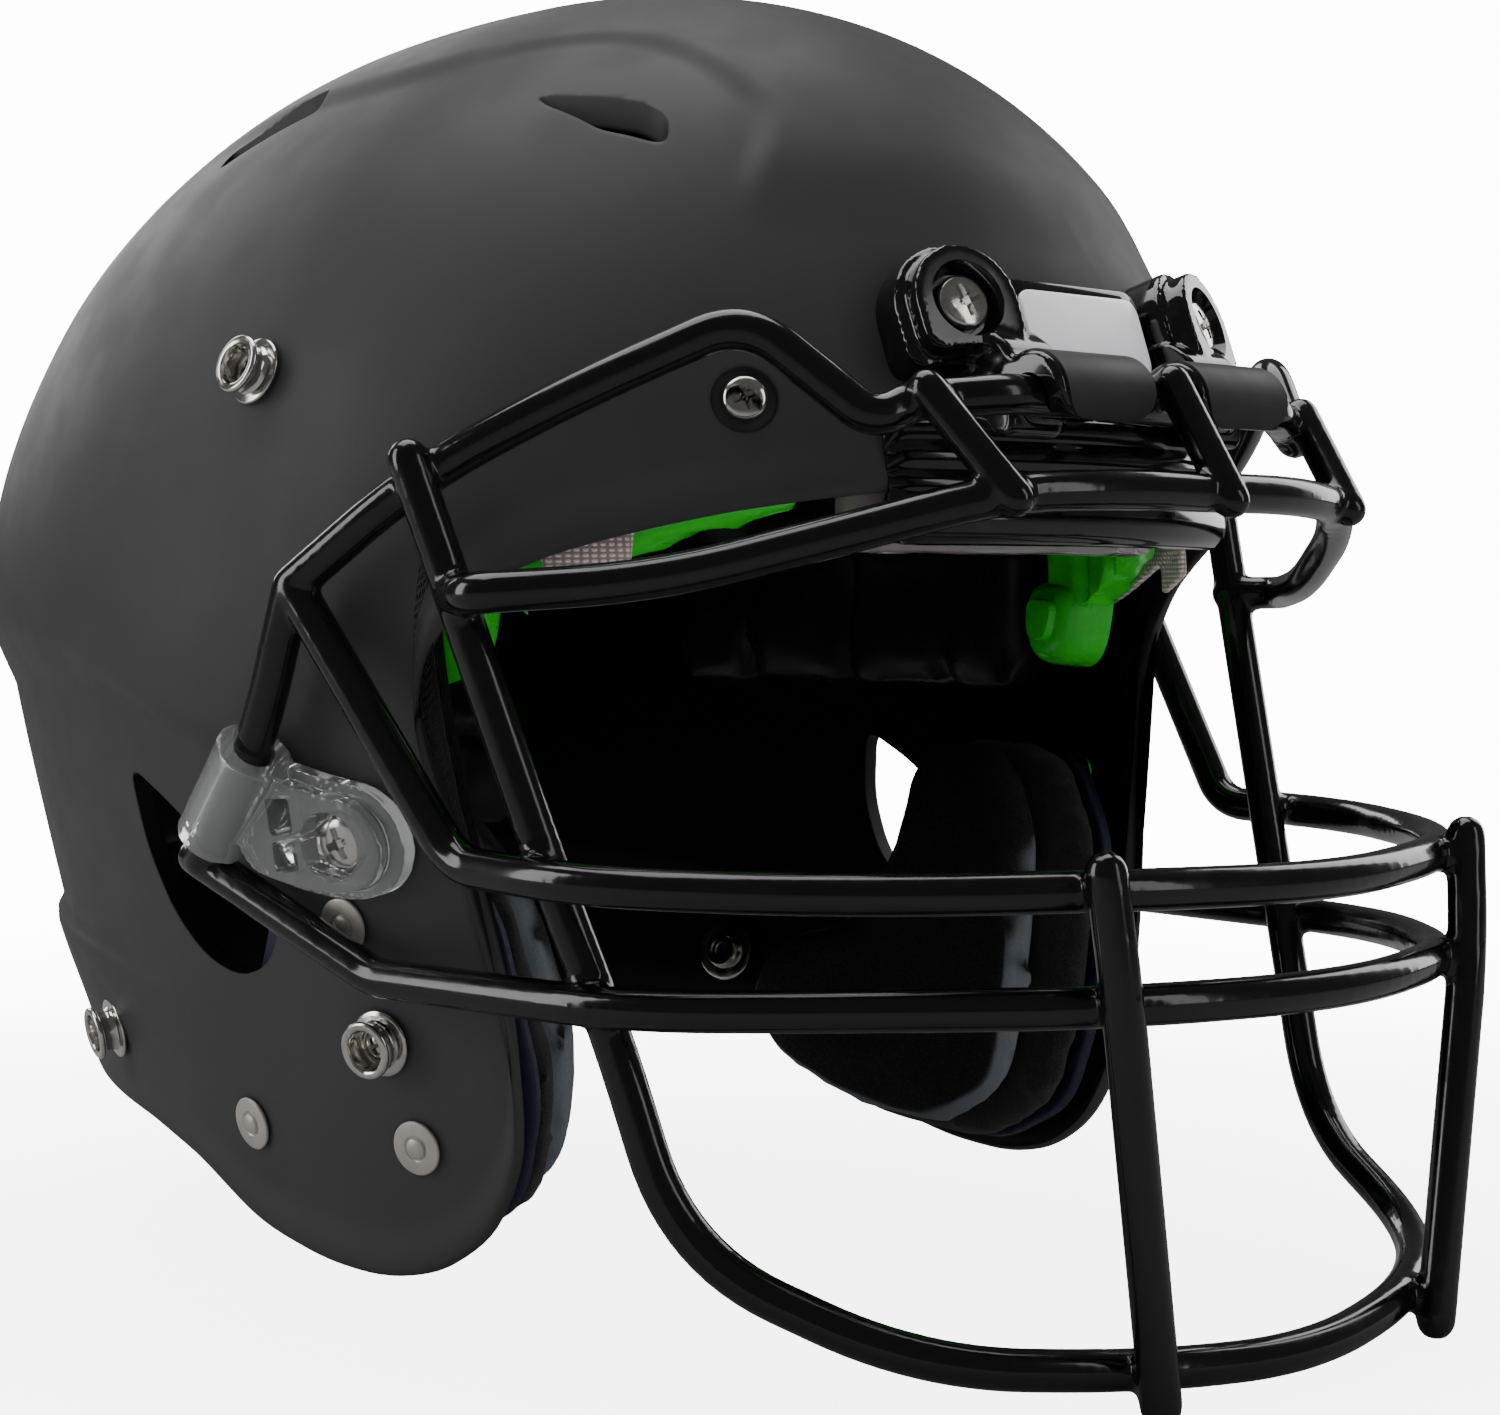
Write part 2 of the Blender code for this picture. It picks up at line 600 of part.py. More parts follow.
# ---- the brow trim ----------------------------------------------------------------------------
def make_bumper():
    """A ribbed trim that caps the brow's edge, with a raised middle for the plate."""
    half = [(46, -11.5), (46, 3), (33.4, 3), (33.4, -2.6), (18.6, -2.6), (18.6, 27.4)]
    crown_outline = half + [(-x, z) for x, z in reversed(half)]
    bumper = patch("front_bumper", crown_outline, "Y", -170, -60, SEAT_GAP, SEAT_GAP + 2.4, "gloss_black")
    lip = patch("bumper_lip", rectangle(-46, 46, -19, -11.0), "Y", -170, -60, -8.0, SEAT_GAP + 2.4, "gloss_black")
    cutters.objects.link(lip)
    helmet.objects.unlink(lip)
    lip.hide_render = True
    lip.display_type = "WIRE"
    boolean(bumper, lip, "UNION")
    return bumper


make_bumper()
patch("name_plate", rounded(rectangle(-16, 16, 11, 24.6), 3.0), "Y", -170, -60, 3.6, 5.2, "white")


# ---- the liner --------------------------------------------------------------------------------
def pad(name, outline, axis, low, high, slot, inset=PAD_INSET, thick=PAD_THICK):
    """A soft pad between two depths inside the shell."""
    return patch(name, outline, axis, low, high, -(inset + thick), -inset, slot)


def nut_pocket(target, skin):
    """Room in a pad for the T-nut behind a point of the shell."""
    normal = shell_normal(skin)
    boolean(target, rod(target.name + "_pocket", skin - normal * (NUT_TIP + 1.5), skin, 8.0, sides=12))


pad("brow_pad", rounded(rectangle(-42, 42, -22, 14), 6.0), "Y", -170, -40, "grey_pad", PAD_INSET + 4.0, 12.0)
pad("crown_pad", rounded(rectangle(-52, 52, -72, 40), 14.0), "Z", 20, 120, "black_pad")
pad("nape_pad", rounded(rectangle(-58, 58, -88, 12), 12.0), "Y", 60, 170, "black_pad")
for side, sign in SIDES.items():
    low, high = sorted((20.0 * sign, 130.0 * sign))
    side_pad = pad(f"side_pad_{side}", rounded(rectangle(-54, 52, -52, 22), 12.0), "X", low, high, "black_pad")
    nut_pocket(side_pad, mirrored(side_point(*STUDS_YZ["upper"]), sign))
    low, high = sorted((45.0 * sign, 130.0 * sign))
    pad(f"temple_cushion_{side}", rounded([(-118, 2), (-118, -12), (-72, -34), (-57, -34), (-57, 2)], 5.0),
        "X", low, high, "green", PAD_INSET + 3.8, 13.0)
    strip = pad(f"brow_strip_{side}", rounded([(-118, 2), (-118, -11), (-93, -20.5), (-62, -33), (-60, 2)], 2.0),
                "X", low, high, "strip", PAD_INSET, 2.2)
    nut_pocket(strip, mirrored(front_point(*BROW_SCREW_XZ), sign))


# ---- jaw pads ---------------------------------------------------------------------------------
JAW_OUTLINE = [(-79, -62), (-84, -96), (-86, -120), (-80, -138), (-62, -145), (-34, -144), (-14, -136),
               (-22, -108), (-44, -104), (-50, -84), (-56, -62)]
FOAM_OUTLINE = [(-80, -72), (-86, -98), (-88, -120), (-82, -134), (-62, -141), (-34, -139), (-20, -132),
                (-28, -112), (-48, -106), (-56, -84), (-62, -72)]

JAW_SEAT_X, JAW_SEAT_YZ = 85.0, (-60.0, -110.0)   # the middle of a jaw pad

for side, sign in SIDES.items():
    low, high = sorted((40.0 * sign, 130.0 * sign))
    pad(f"jaw_pad_{side}", rounded(JAW_OUTLINE, 6.0, 2), "X", low, high, "black_pad", 9.4, 8.6)
    pad(f"jaw_foam_{side}", rounded(FOAM_OUTLINE, 6.0, 2), "X", low, high, "foam", 18.4, 9.0)


# ---- joint axes -------------------------------------------------------------------------------
def hang(joint, point, names):
    """Put an empty on a joint's axis and make it the parent of the pieces that move there."""
    pivot = bpy.data.objects.new(joint, None)
    pivot.location = (point + STAND) * MM
    helmet.objects.link(pivot)
    for name in names:
        piece = bpy.data.objects[name]
        piece.parent = pivot
        piece.matrix_parent_inverse = Matrix.Translation(-pivot.location)


hang("guard_swing", Vector((0.0, SWING_Y, SWING_Z)), ["face_guard", "side_clip_left", "side_clip_right"])
for side, sign in SIDES.items():
    hang(f"side_screw_{side}_slide", mirrored(side_point(*SIDE_SCREW_YZ), sign), [f"side_screw_{side}"])
    hang(f"jaw_pad_{side}_slide", Vector((sign * JAW_SEAT_X, *JAW_SEAT_YZ)), [f"jaw_pad_{side}", f"jaw_foam_{side}"])
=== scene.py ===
"""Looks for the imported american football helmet: shell, welded face guard, clips, studs and liner.

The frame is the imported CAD: metres, +Z up, the helmet faces -Y, +X is the wearer's left. Sizes below are
in millimetres from the middle of the head; piece() scales a mesh by MM and moves it to the frame by STAND.
"""
import math

import bmesh
import bpy
import numpy as np
from mathutils import Matrix, Vector
from mathutils.kdtree import KDTree


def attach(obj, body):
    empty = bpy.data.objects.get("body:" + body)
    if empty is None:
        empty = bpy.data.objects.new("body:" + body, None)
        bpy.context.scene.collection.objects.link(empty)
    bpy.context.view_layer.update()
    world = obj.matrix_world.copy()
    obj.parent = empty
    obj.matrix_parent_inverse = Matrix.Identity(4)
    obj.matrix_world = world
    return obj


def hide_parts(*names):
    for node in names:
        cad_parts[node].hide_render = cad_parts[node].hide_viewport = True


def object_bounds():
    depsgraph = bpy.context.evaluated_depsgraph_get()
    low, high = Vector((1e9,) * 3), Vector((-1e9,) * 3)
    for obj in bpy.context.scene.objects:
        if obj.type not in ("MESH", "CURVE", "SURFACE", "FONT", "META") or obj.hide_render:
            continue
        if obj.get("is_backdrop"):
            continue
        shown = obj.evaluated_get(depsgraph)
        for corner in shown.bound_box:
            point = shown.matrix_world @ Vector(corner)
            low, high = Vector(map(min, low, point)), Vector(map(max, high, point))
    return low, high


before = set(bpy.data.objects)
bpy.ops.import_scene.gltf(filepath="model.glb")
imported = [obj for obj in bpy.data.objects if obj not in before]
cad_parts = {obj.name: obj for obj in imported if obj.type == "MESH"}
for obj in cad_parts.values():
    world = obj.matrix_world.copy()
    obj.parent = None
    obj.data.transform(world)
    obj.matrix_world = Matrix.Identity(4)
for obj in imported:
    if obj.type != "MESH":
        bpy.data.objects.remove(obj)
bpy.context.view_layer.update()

MM = 0.001
STAND = Vector((0.0, 32.911, 160.470))   # from the frame's origin to the middle of the head
TO_FRAME = Matrix.Scale(MM, 4) @ Matrix.Translation(STAND)
SIDES = {"left": 1, "right": -1}

# ---- driving dimensions, the same as the CAD's ------------------------------------------------
HALF_WIDTH = 111.5
FRONT_REACH = 111.2
REAR_REACH = 167.0
MIDDLE_Y = -33.2
WAIST_Z = -26.7
CROWN_RISE = 117.0
CROWN_POWER = 2.13
REAR_POWER = 2.3
SIDE_TAPER, SIDE_BLEND = 0.21, 20.0      # how the sides and the rear draw in below the waist
REAR_TAPER, REAR_BLEND = 0.26, 12.0
SHELL_WALL = 4.0
FOLD_STEP, LIP_STEP, PANEL_RISE, RIM_FLARE = 3.4, 2.4, 1.5, 1.3   # the shell's moulded relief
BACKDROP = 14.0          # brightness of the pale surround, as the camera sees it
DIFFUSE_SKY = 0.60       # and as matt surfaces see it
GLOSSY_SKY = 0.08        # and as it shows in reflections
SEAT_GAP = 0.8           # what is fixed outside stands this far off the plain skin
NUT_SEAT = -SHELL_WALL - 0.3
BAR_R = 3.5
UPRIGHT_R = 3.2
FREE_BEND = 20.0         # bends at least this large flow into each other
WELD_REACH, CLEAR_REACH = 8.5, 12.5      # bars closer than the first are welded, beyond the other clear
END_SPOTS = 4            # millimetres at a bar's end that keep their domed form
SWING_Y, SWING_Z = -154.0, 6.0           # the guard's hinge line
CLIP_RUN = 0.4           # play of a clip's bore round its bar

RIM = [(-141, -6.5), (-138.5, -7), (-132, -8.5), (-120, -11.5), (-109, -15), (-96, -19.5), (-84.5, -26),
       (-77, -36.5), (-74.5, -49), (-76, -63), (-79.5, -79), (-82.3, -97), (-83.5, -113), (-82, -127),
       (-75, -140), (-63, -148), (-49, -151), (-32, -150), (-13, -146), (6, -136), (25, -131), (48, -128.5),
       (72, -126), (98, -123), (119, -120)]
VENT_OUTLINE = [(67.8, -68), (57.8, -86), (57, -91), (59.7, -94), (61.7, -92.6), (66.5, -83.5), (68.4, -71)]
SLIT_ENDS = (74.2, 19.5), (67.7, -5.0)
SLIT_HALF = 2.4
EAR_OUTLINE = [(8, -60), (6, -76), (0, -88), (-9, -96), (-20, -99), (-30, -96), (-36, -88), (-22, -78),
               (-6, -67)]
SIDE_SCREW_YZ = (-59.0, -70.5)
TOP_SCREW_XZ = (31.2, 19.5)
BROW_SCREW_XZ = (65.5, 5.5)
STUDS_YZ = {"upper": (-36.3, 12.0), "front": (-58.0, -107.5), "rear": (39.0, -115.5)}
RIVETS_YZ = {"clip": (-53.5, -86.5), "rear": (-16.0, -127.5), "front": (-62.0, -126.5)}


# ---- the skin's formulas ----------------------------------------------------------------------
def smooth(low, high, value):
    """A smooth step from 0 at low to 1 at high."""
    t = np.clip((value - low) / (high - low), 0.0, 1.0)
    return t * t * (3.0 - 2.0 * t)


def reaches(height, offset=0.0):
    """Half width, rear reach and front reach below the dome, and how far up the dome a height is."""
    below = np.maximum(WAIST_Z - height, 0.0)
    above = np.clip((height - WAIST_Z) / (CROWN_RISE + offset), 0.0, 1.0)
    half = HALF_WIDTH + offset - SIDE_TAPER * (np.hypot(below, SIDE_BLEND) - SIDE_BLEND)
    rear = REAR_REACH + offset - REAR_TAPER * (np.hypot(below, REAR_BLEND) - REAR_BLEND)
    return half, rear, FRONT_REACH + offset + 0.0 * below, above


def skin(turn, height, offset=0.0):
    """Points of the skin: turn runs from 0 at the brow, past the wearer's left, to pi at the nape."""
    turn, height = np.broadcast_arrays(np.asarray(turn, float), np.asarray(height, float))
    half, rear, front, above = reaches(height, offset)
    ring = (1.0 - above ** CROWN_POWER) ** (1.0 / CROWN_POWER)
    along, wide = np.cos(turn), np.sin(turn)
    power = np.where(along > 0, 1.0, 2.0 / REAR_POWER)
    reach = np.where(along > 0, front, rear) * ring
    x = half * ring * np.sign(wide) * np.abs(wide) ** power
    y = MIDDLE_Y - np.sign(along) * reach * np.abs(along) ** power
    return np.stack([x, y, height], -1)


def level(points, offset=0.0):
    """1 on the skin, less inside, more outside."""
    x, y, z = points[..., 0], points[..., 1], points[..., 2]
    half, rear, front, above = reaches(z, offset)
    above = np.maximum(z - WAIST_Z, 0.0) / (CROWN_RISE + offset)
    ahead = y < MIDDLE_Y
    power = np.where(ahead, 2.0, REAR_POWER)
    reach = np.where(ahead, front, rear)
    rho = ((np.abs(x) / half) ** power + (np.abs(y - MIDDLE_Y) / reach) ** power) ** (1.0 / power)
    return (rho ** CROWN_POWER + above ** CROWN_POWER) ** (1.0 / CROWN_POWER)


def gradient(points, offset=0.0):
    """The slope of level() at points."""
    step = 0.05
    parts = []
    for axis in np.eye(3):
        parts.append((level(points + axis * step, offset) - level(points - axis * step, offset)) / (2 * step))
    return np.stack(parts, -1)


def normals(points):
    """Outward unit normals of the skin."""
    slope = gradient(points)
    return slope / np.linalg.norm(slope, axis=-1, keepdims=True)


def depth_of(points):
    """How far points lie inside the skin, about."""
    return (1.0 - level(points)) / np.linalg.norm(gradient(points), axis=-1)


def turn_at(y, height):
    """The turn at which the level section reaches a station y."""
    _, rear, front, above = reaches(np.float64(height))
    ring = (1.0 - above ** CROWN_POWER) ** (1.0 / CROWN_POWER)
    if y < MIDDLE_Y:
        return math.acos(min(1.0, (MIDDLE_Y - y) / (front * ring)))
    return math.acos(-min(1.0, (y - MIDDLE_Y) / (rear * ring)) ** (REAR_POWER / 2))


def side_point(y, z, side=1):
    """The skin's point at a station and height, on the left (1) or right (-1)."""
    spot = skin(turn_at(y, z), z)
    return Vector((spot[0] * side, spot[1], spot[2]))


def front_turn(x, z):
    """The turn of the skin's front at a width and height."""
    half, _, _, above = reaches(np.asarray(z, float))
    ring = (1.0 - above ** CROWN_POWER) ** (1.0 / CROWN_POWER)
    return np.arcsin(np.clip(x / (half * ring), -1.0, 1.0))


def front_point(x, z, side=1):
    """The skin's point on the front at a width and height."""
    spot = skin(front_turn(x, z), z)
    return Vector((spot[0] * side, spot[1], spot[2]))


def normal_at(point):
    """The skin's outward normal at one point."""
    return Vector(normals(np.array(point, float)))


# ---- material nodes ---------------------------------------------------------------------------
class Shader:
    """A small helper that adds nodes to a material and joins them."""

    def __init__(self, name):
        self.material = bpy.data.materials.new(name)
        self.material.use_nodes = True
        self.tree = self.material.node_tree
        self.base = self.tree.nodes["Principled BSDF"]
        self.place = self.add("ShaderNodeTexCoord").outputs["Object"]

    def add(self, kind, **settings):
        node = self.tree.nodes.new(kind)
        for key, value in settings.items():
            setattr(node, key, value)
        return node

    def join(self, source, target):
        self.tree.links.new(source, target)

    def set(self, **values):
        for key, value in values.items():
            self.base.inputs[key.replace("_", " ")].default_value = value

    def noise(self, scale, detail=2.0, rough=0.5):
        node = self.add("ShaderNodeTexNoise")
        node.inputs["Scale"].default_value = scale
        node.inputs["Detail"].default_value = detail
        node.inputs["Roughness"].default_value = rough
        self.join(self.place, node.inputs["Vector"])
        return node.outputs["Fac"]

    def cells(self, scale, feature="F1"):
        node = self.add("ShaderNodeTexVoronoi", feature=feature)
        node.inputs["Scale"].default_value = scale
        self.join(self.place, node.inputs["Vector"])
        return node.outputs["Distance"]

    def span(self, source, low, high, out_low=0.0, out_high=1.0):
        node = self.add("ShaderNodeMapRange", interpolation_type="SMOOTHSTEP")
        for key, value in (("From Min", low), ("From Max", high), ("To Min", out_low), ("To Max", out_high)):
            node.inputs[key].default_value = value
        self.join(source, node.inputs["Value"])
        return node.outputs["Result"]

    def maths(self, operation, a, b=None):
        node = self.add("ShaderNodeMath", operation=operation)
        for socket, value in zip(node.inputs, (a, b)):
            if value is None:
                continue
            if isinstance(value, (int, float)):
                socket.default_value = value
            else:
                self.join(value, socket)
        return node.outputs["Value"]

    def mix(self, factor, first, second):
        node = self.add("ShaderNodeMix", data_type="RGBA")
        self.join(factor, node.inputs[0])
        for index, colour in ((6, first), (7, second)):
            if isinstance(colour, tuple):
                node.inputs[index].default_value = (*colour, 1.0)
            else:
                self.join(colour, node.inputs[index])
        return node.outputs[2]

    def axis(self, name):
        node = self.add("ShaderNodeSeparateXYZ")
        self.join(self.place, node.inputs[0])
        return node.outputs[name]

    def colour(self, source):
        self.join(source, self.base.inputs["Base Color"])

    def rough(self, source):
        self.join(source, self.base.inputs["Roughness"])

    def bump(self, source, strength, distance, under=None):
        node = self.add("ShaderNodeBump")
        node.inputs["Strength"].default_value = strength
        node.inputs["Distance"].default_value = distance
        self.join(source, node.inputs["Height"])
        if under is not None:
            self.join(under, node.inputs["Normal"])
        self.join(node.outputs["Normal"], self.base.inputs["Normal"])
        return node.outputs["Normal"]

    def tinted(self, scale, detail, first, second):
        """A colour that drifts between two tones."""
        self.colour(self.mix(self.noise(scale, detail), first, second))

    def polished(self, scale, low, high, smoothest, roughest, detail=3.0):
        """A roughness that drifts between two values."""
        self.rough(self.span(self.noise(scale, detail), low, high, smoothest, roughest))

    def grained(self, scale, detail, strength, distance):
        """A fine relief that follows a noise."""
        self.bump(self.noise(scale, detail), strength, distance)

    def soft_edges(self, radius):
        node = self.add("ShaderNodeBevel", samples=4)
        node.inputs["Radius"].default_value = radius
        self.join(node.outputs["Normal"], self.base.inputs["Normal"])
        return node.outputs["Normal"]


def shell_material():
    """Matte moulded polycarbonate, fine-grained and faintly clouded, and blacker on the inside: painted shade
    on the inside faces.
    """
    made = Shader("shell_polycarbonate")
    cloud = made.span(made.noise(14.0, 4.0), 0.3, 0.7)
    outside = made.mix(cloud, (0.034, 0.034, 0.035), (0.040, 0.040, 0.041))
    # Painted shade: faces turned in toward the head's middle are mixed to near-black, standing in for the
    # shadow inside the shell.
    away = made.add("ShaderNodeVectorMath", operation="SUBTRACT")
    made.join(made.place, away.inputs[0])
    away.inputs[1].default_value = (0.0, 0.0, 0.134)
    turned = made.add("ShaderNodeVectorMath", operation="DOT_PRODUCT")
    made.join(away.outputs[0], turned.inputs[0])
    made.join(made.add("ShaderNodeTexCoord").outputs["Normal"], turned.inputs[1])
    inner = made.span(turned.outputs["Value"], -0.02, 0.01, 1.0, 0.0)
    made.colour(made.mix(inner, outside, (0.005, 0.005, 0.0055)))
    made.polished(60.0, 0.3, 0.7, 0.48, 0.56)
    made.set(Specular_IOR_Level=0.20)
    edge = made.soft_edges(0.0009)
    made.bump(made.noise(2600.0, 2.0), 0.10, 0.00006, edge)
    return made.material


def coated_steel_material():
    """Thick glossy black coating over steel wire, a little wavy, with fine dust."""
    made = Shader("coated_steel")
    dust = made.span(made.noise(420.0, 6.0, 0.7), 0.62, 0.82)
    made.colour(made.mix(dust, (0.0030, 0.0030, 0.0033), (0.006, 0.006, 0.007)))
    made.polished(180.0, 0.3, 0.8, 0.13, 0.22)
    made.set(Specular_IOR_Level=0.45, Coat_Weight=0.35, Coat_Roughness=0.06)
    made.grained(95.0, 2.0, 0.04, 0.0003)
    return made.material


def gloss_black_material():
    """Polished black moulding."""
    made = Shader("gloss_black_plastic")
    dust = made.span(made.noise(300.0, 5.0), 0.5, 0.8)
    made.colour(made.mix(dust, (0.004, 0.004, 0.0045), (0.010, 0.010, 0.011)))
    made.polished(70.0, 0.3, 0.8, 0.07, 0.17)
    made.set(Coat_Weight=0.5, Coat_Roughness=0.03)
    made.grained(130.0, 2.0, 0.05, 0.0003)
    return made.material


def matte_black_material():
    """Soft-touch face of the clips' tongues."""
    made = Shader("matte_black_face")
    made.tinted(220.0, 4.0, (0.010, 0.010, 0.011), (0.016, 0.016, 0.017))
    made.polished(90.0, 0.3, 0.7, 0.48, 0.58)
    made.grained(2400.0, 2.0, 0.20, 0.00008)
    return made.material


def white_plate_material():
    """Blank white plate under a thin clear layer, with a faint painted glow that brightens it."""
    made = Shader("white_plate")
    made.tinted(60.0, 4.0, (0.90, 0.90, 0.94), (0.96, 0.96, 0.98))
    made.polished(120.0, 0.3, 0.7, 0.22, 0.32)
    # The emission is a painted glow that brightens the plate beyond what the lamps give.
    made.set(Coat_Weight=0.4, Coat_Roughness=0.05, Emission_Strength=0.16)
    made.base.inputs["Emission Color"].default_value = (0.93, 0.94, 1.0, 1.0)
    made.grained(900.0, 2.0, 0.04, 0.0001)
    return made.material


def clear_material():
    """Water-clear polycarbonate with a little haze at its moulding marks."""
    made = Shader("clear_plastic")
    haze = made.span(made.noise(160.0, 5.0, 0.6), 0.45, 0.75)
    made.colour(made.mix(haze, (0.97, 0.98, 0.985), (0.90, 0.92, 0.93)))
    made.polished(240.0, 0.4, 0.8, 0.02, 0.09)
    made.set(Transmission_Weight=0.91, IOR=1.44, Specular_IOR_Level=0.8)
    made.grained(210.0, 2.0, 0.10, 0.0004)
    return made.material


def bright_steel_material():
    """Nickel-plated steel with turning marks and fine scratches."""
    made = Shader("bright_steel")
    scratch = made.span(made.noise(900.0, 6.0, 0.7), 0.45, 0.75)
    made.colour(made.mix(scratch, (0.80, 0.78, 0.74), (0.60, 0.585, 0.555)))
    made.polished(500.0, 0.3, 0.8, 0.10, 0.26, 4.0)
    made.set(Metallic=1.0)
    made.grained(1500.0, 3.0, 0.06, 0.00008)
    return made.material


def rivet_disc_material():
    """Dull warm-grey washer with round brushing."""
    made = Shader("rivet_disc")
    rings = made.add("ShaderNodeTexWave", wave_type="RINGS", rings_direction="Z")
    rings.inputs["Scale"].default_value = 900.0
    rings.inputs["Distortion"].default_value = 2.0
    made.join(made.place, rings.inputs["Vector"])
    made.tinted(380.0, 5.0, (0.46, 0.43, 0.40), (0.60, 0.57, 0.53))
    made.polished(600.0, 0.3, 0.7, 0.34, 0.52, 4.0)
    made.set(Metallic=0.75)
    made.bump(rings.outputs["Fac"], 0.10, 0.00006)
    return made.material


def pad_cover_material():
    """Black vinyl pad cover with a fine leather grain."""
    made = Shader("black_pad_cover")
    grain = made.cells(900.0, "DISTANCE_TO_EDGE")
    made.tinted(40.0, 4.0, (0.006, 0.006, 0.007), (0.013, 0.012, 0.013))
    made.polished(80.0, 0.3, 0.7, 0.24, 0.40)
    made.set(Specular_IOR_Level=0.5)
    made.bump(made.span(grain, 0.0, 0.12), 0.10, 0.00010)
    return made.material


def green_material():
    """Bright green soft plastic, faintly see-through."""
    made = Shader("green_cushion")
    made.tinted(90.0, 4.0, (0.012, 0.40, 0.010), (0.030, 0.62, 0.025))
    made.polished(150.0, 0.3, 0.7, 0.16, 0.30)
    made.set(Subsurface_Weight=0.25, Subsurface_Scale=0.004, Coat_Weight=0.3, Coat_Roughness=0.1)
    made.base.inputs["Subsurface Radius"].default_value = (0.3, 1.0, 0.3)
    made.grained(600.0, 3.0, 0.08, 0.0002)
    return made.material


def smoky_material():
    """Smoky half-clear bladder of the front pad."""
    made = Shader("smoky_bladder")
    made.tinted(50.0, 4.0, (0.20, 0.165, 0.17), (0.33, 0.29, 0.30))
    made.polished(160.0, 0.3, 0.7, 0.10, 0.22)
    made.set(Transmission_Weight=0.35, IOR=1.45, Coat_Weight=0.5, Coat_Roughness=0.05)
    made.grained(220.0, 3.0, 0.12, 0.0005)
    return made.material


def foam_material():
    """Grey closed-cell foam at the edges, under a thin black cover on the face toward the cheek."""
    made = Shader("grey_foam")
    pores = made.cells(1300.0)
    grey = made.mix(made.noise(120.0, 5.0), (0.085, 0.100, 0.120), (0.135, 0.150, 0.170))
    facing = made.add("ShaderNodeSeparateXYZ")
    made.join(made.add("ShaderNodeTexCoord").outputs["Normal"], facing.inputs[0])
    cheek = made.span(made.maths("ABSOLUTE", facing.outputs["X"]), 0.76, 0.90)
    cover = made.maths("MAXIMUM", cheek, made.span(facing.outputs["Z"], 0.05, 0.35))
    made.colour(made.mix(cover, grey, (0.006, 0.006, 0.007)))
    made.rough(made.span(pores, 0.0, 0.6, 0.55, 0.85))
    made.bump(pores, 0.35, 0.0003)
    return made.material


def fleece_material():
    """Black brushed fabric with short fuzz."""
    made = Shader("black_fleece")
    fuzz = made.noise(2200.0, 8.0, 0.8)
    made.colour(made.mix(made.span(fuzz, 0.4, 0.7), (0.004, 0.004, 0.005), (0.030, 0.028, 0.032)))
    made.set(Roughness=0.95, Sheen_Weight=0.12, Sheen_Roughness=0.4)
    made.bump(fuzz, 0.8, 0.0006)
    return made.material


def indigo_material():
    """Dark indigo backing layer of the jaw pads."""
    made = Shader("indigo_layer")
    made.tinted(300.0, 4.0, (0.010, 0.009, 0.032), (0.020, 0.018, 0.058))
    made.polished(500.0, 0.3, 0.7, 0.45, 0.65)
    made.bump(made.cells(1400.0), 0.25, 0.0002)
    return made.material


def woven_material():
    """Pale woven tape: warp and weft about a millimetre apart."""
    made = Shader("woven_tape")
    threads = []
    for direction in ("X", "Z"):
        wave = made.add("ShaderNodeTexWave", wave_type="BANDS", bands_direction=direction)
        wave.inputs["Scale"].default_value = 330.0
        wave.inputs["Distortion"].default_value = 0.6
        made.join(made.place, wave.inputs["Vector"])
        threads.append(wave.outputs["Fac"])
    weave = made.maths("MULTIPLY", threads[0], threads[1])
    made.colour(made.mix(made.span(weave, 0.0, 0.5), (0.30, 0.22, 0.21), (0.72, 0.63, 0.61)))
    made.set(Roughness=0.9, Sheen_Weight=0.3)
    made.bump(weave, 0.7, 0.0003)
    return made.material


LOOKS = {
    "shell": shell_material(),
    "coated_steel": coated_steel_material(),
    "gloss_black": gloss_black_material(),
    "matte_black": matte_black_material(),
    "white": white_plate_material(),
    "clear": clear_material(),
    "chrome": bright_steel_material(),
    "disc": rivet_disc_material(),
    "black_pad": pad_cover_material(),
    "green": green_material(),
    "grey_pad": smoky_material(),
    "foam": foam_material(),
    "fleece": fleece_material(),
    "indigo": indigo_material(),
    "strip": woven_material(),
}


# ---- mesh helpers -----------------------------------------------------------------------------
def mesh_from(points, faces, name="mesh"):
    """A mesh in millimetres from points and faces."""
    mesh = bpy.data.meshes.new(name)
    mesh.from_pydata([tuple(p) for p in points], [], faces)
    mesh.update()
    return mesh


def to_mesh(bm, name="mesh"):
    """Turn a bmesh into a mesh whose faces point out."""
    bmesh.ops.recalc_face_normals(bm, faces=bm.faces)
    mesh = bpy.data.meshes.new(name)
    bm.to_mesh(mesh)
    bm.free()
    return mesh


def points_of(mesh):
    """The mesh's points as an array."""
    flat = np.zeros(len(mesh.vertices) * 3)
    mesh.vertices.foreach_get("co", flat)
    return flat.reshape(-1, 3)


def facing_of(mesh):
    """The mesh's point normals as an array."""
    flat = np.zeros(len(mesh.vertices) * 3)
    mesh.vertices.foreach_get("normal", flat)
    return flat.reshape(-1, 3)


def set_points(mesh, points):
    """Put new points into a mesh."""
    mesh.vertices.foreach_set("co", np.ascontiguousarray(points, float).ravel())
    mesh.update()


def joined(*meshes):
    """One mesh from several, all in millimetres."""
    bm = bmesh.new()
    for mesh in meshes:
        bm.from_mesh(mesh)
    return to_mesh(bm, meshes[0].name)


def moved(mesh, matrix):
    """The mesh moved by a matrix; a mirror keeps the faces pointing out."""
    made = mesh.copy()
    made.transform(matrix)
    if matrix.determinant() < 0:
        made.flip_normals()
    return made


FLIP_X = Matrix.Scale(-1.0, 4, (1, 0, 0))


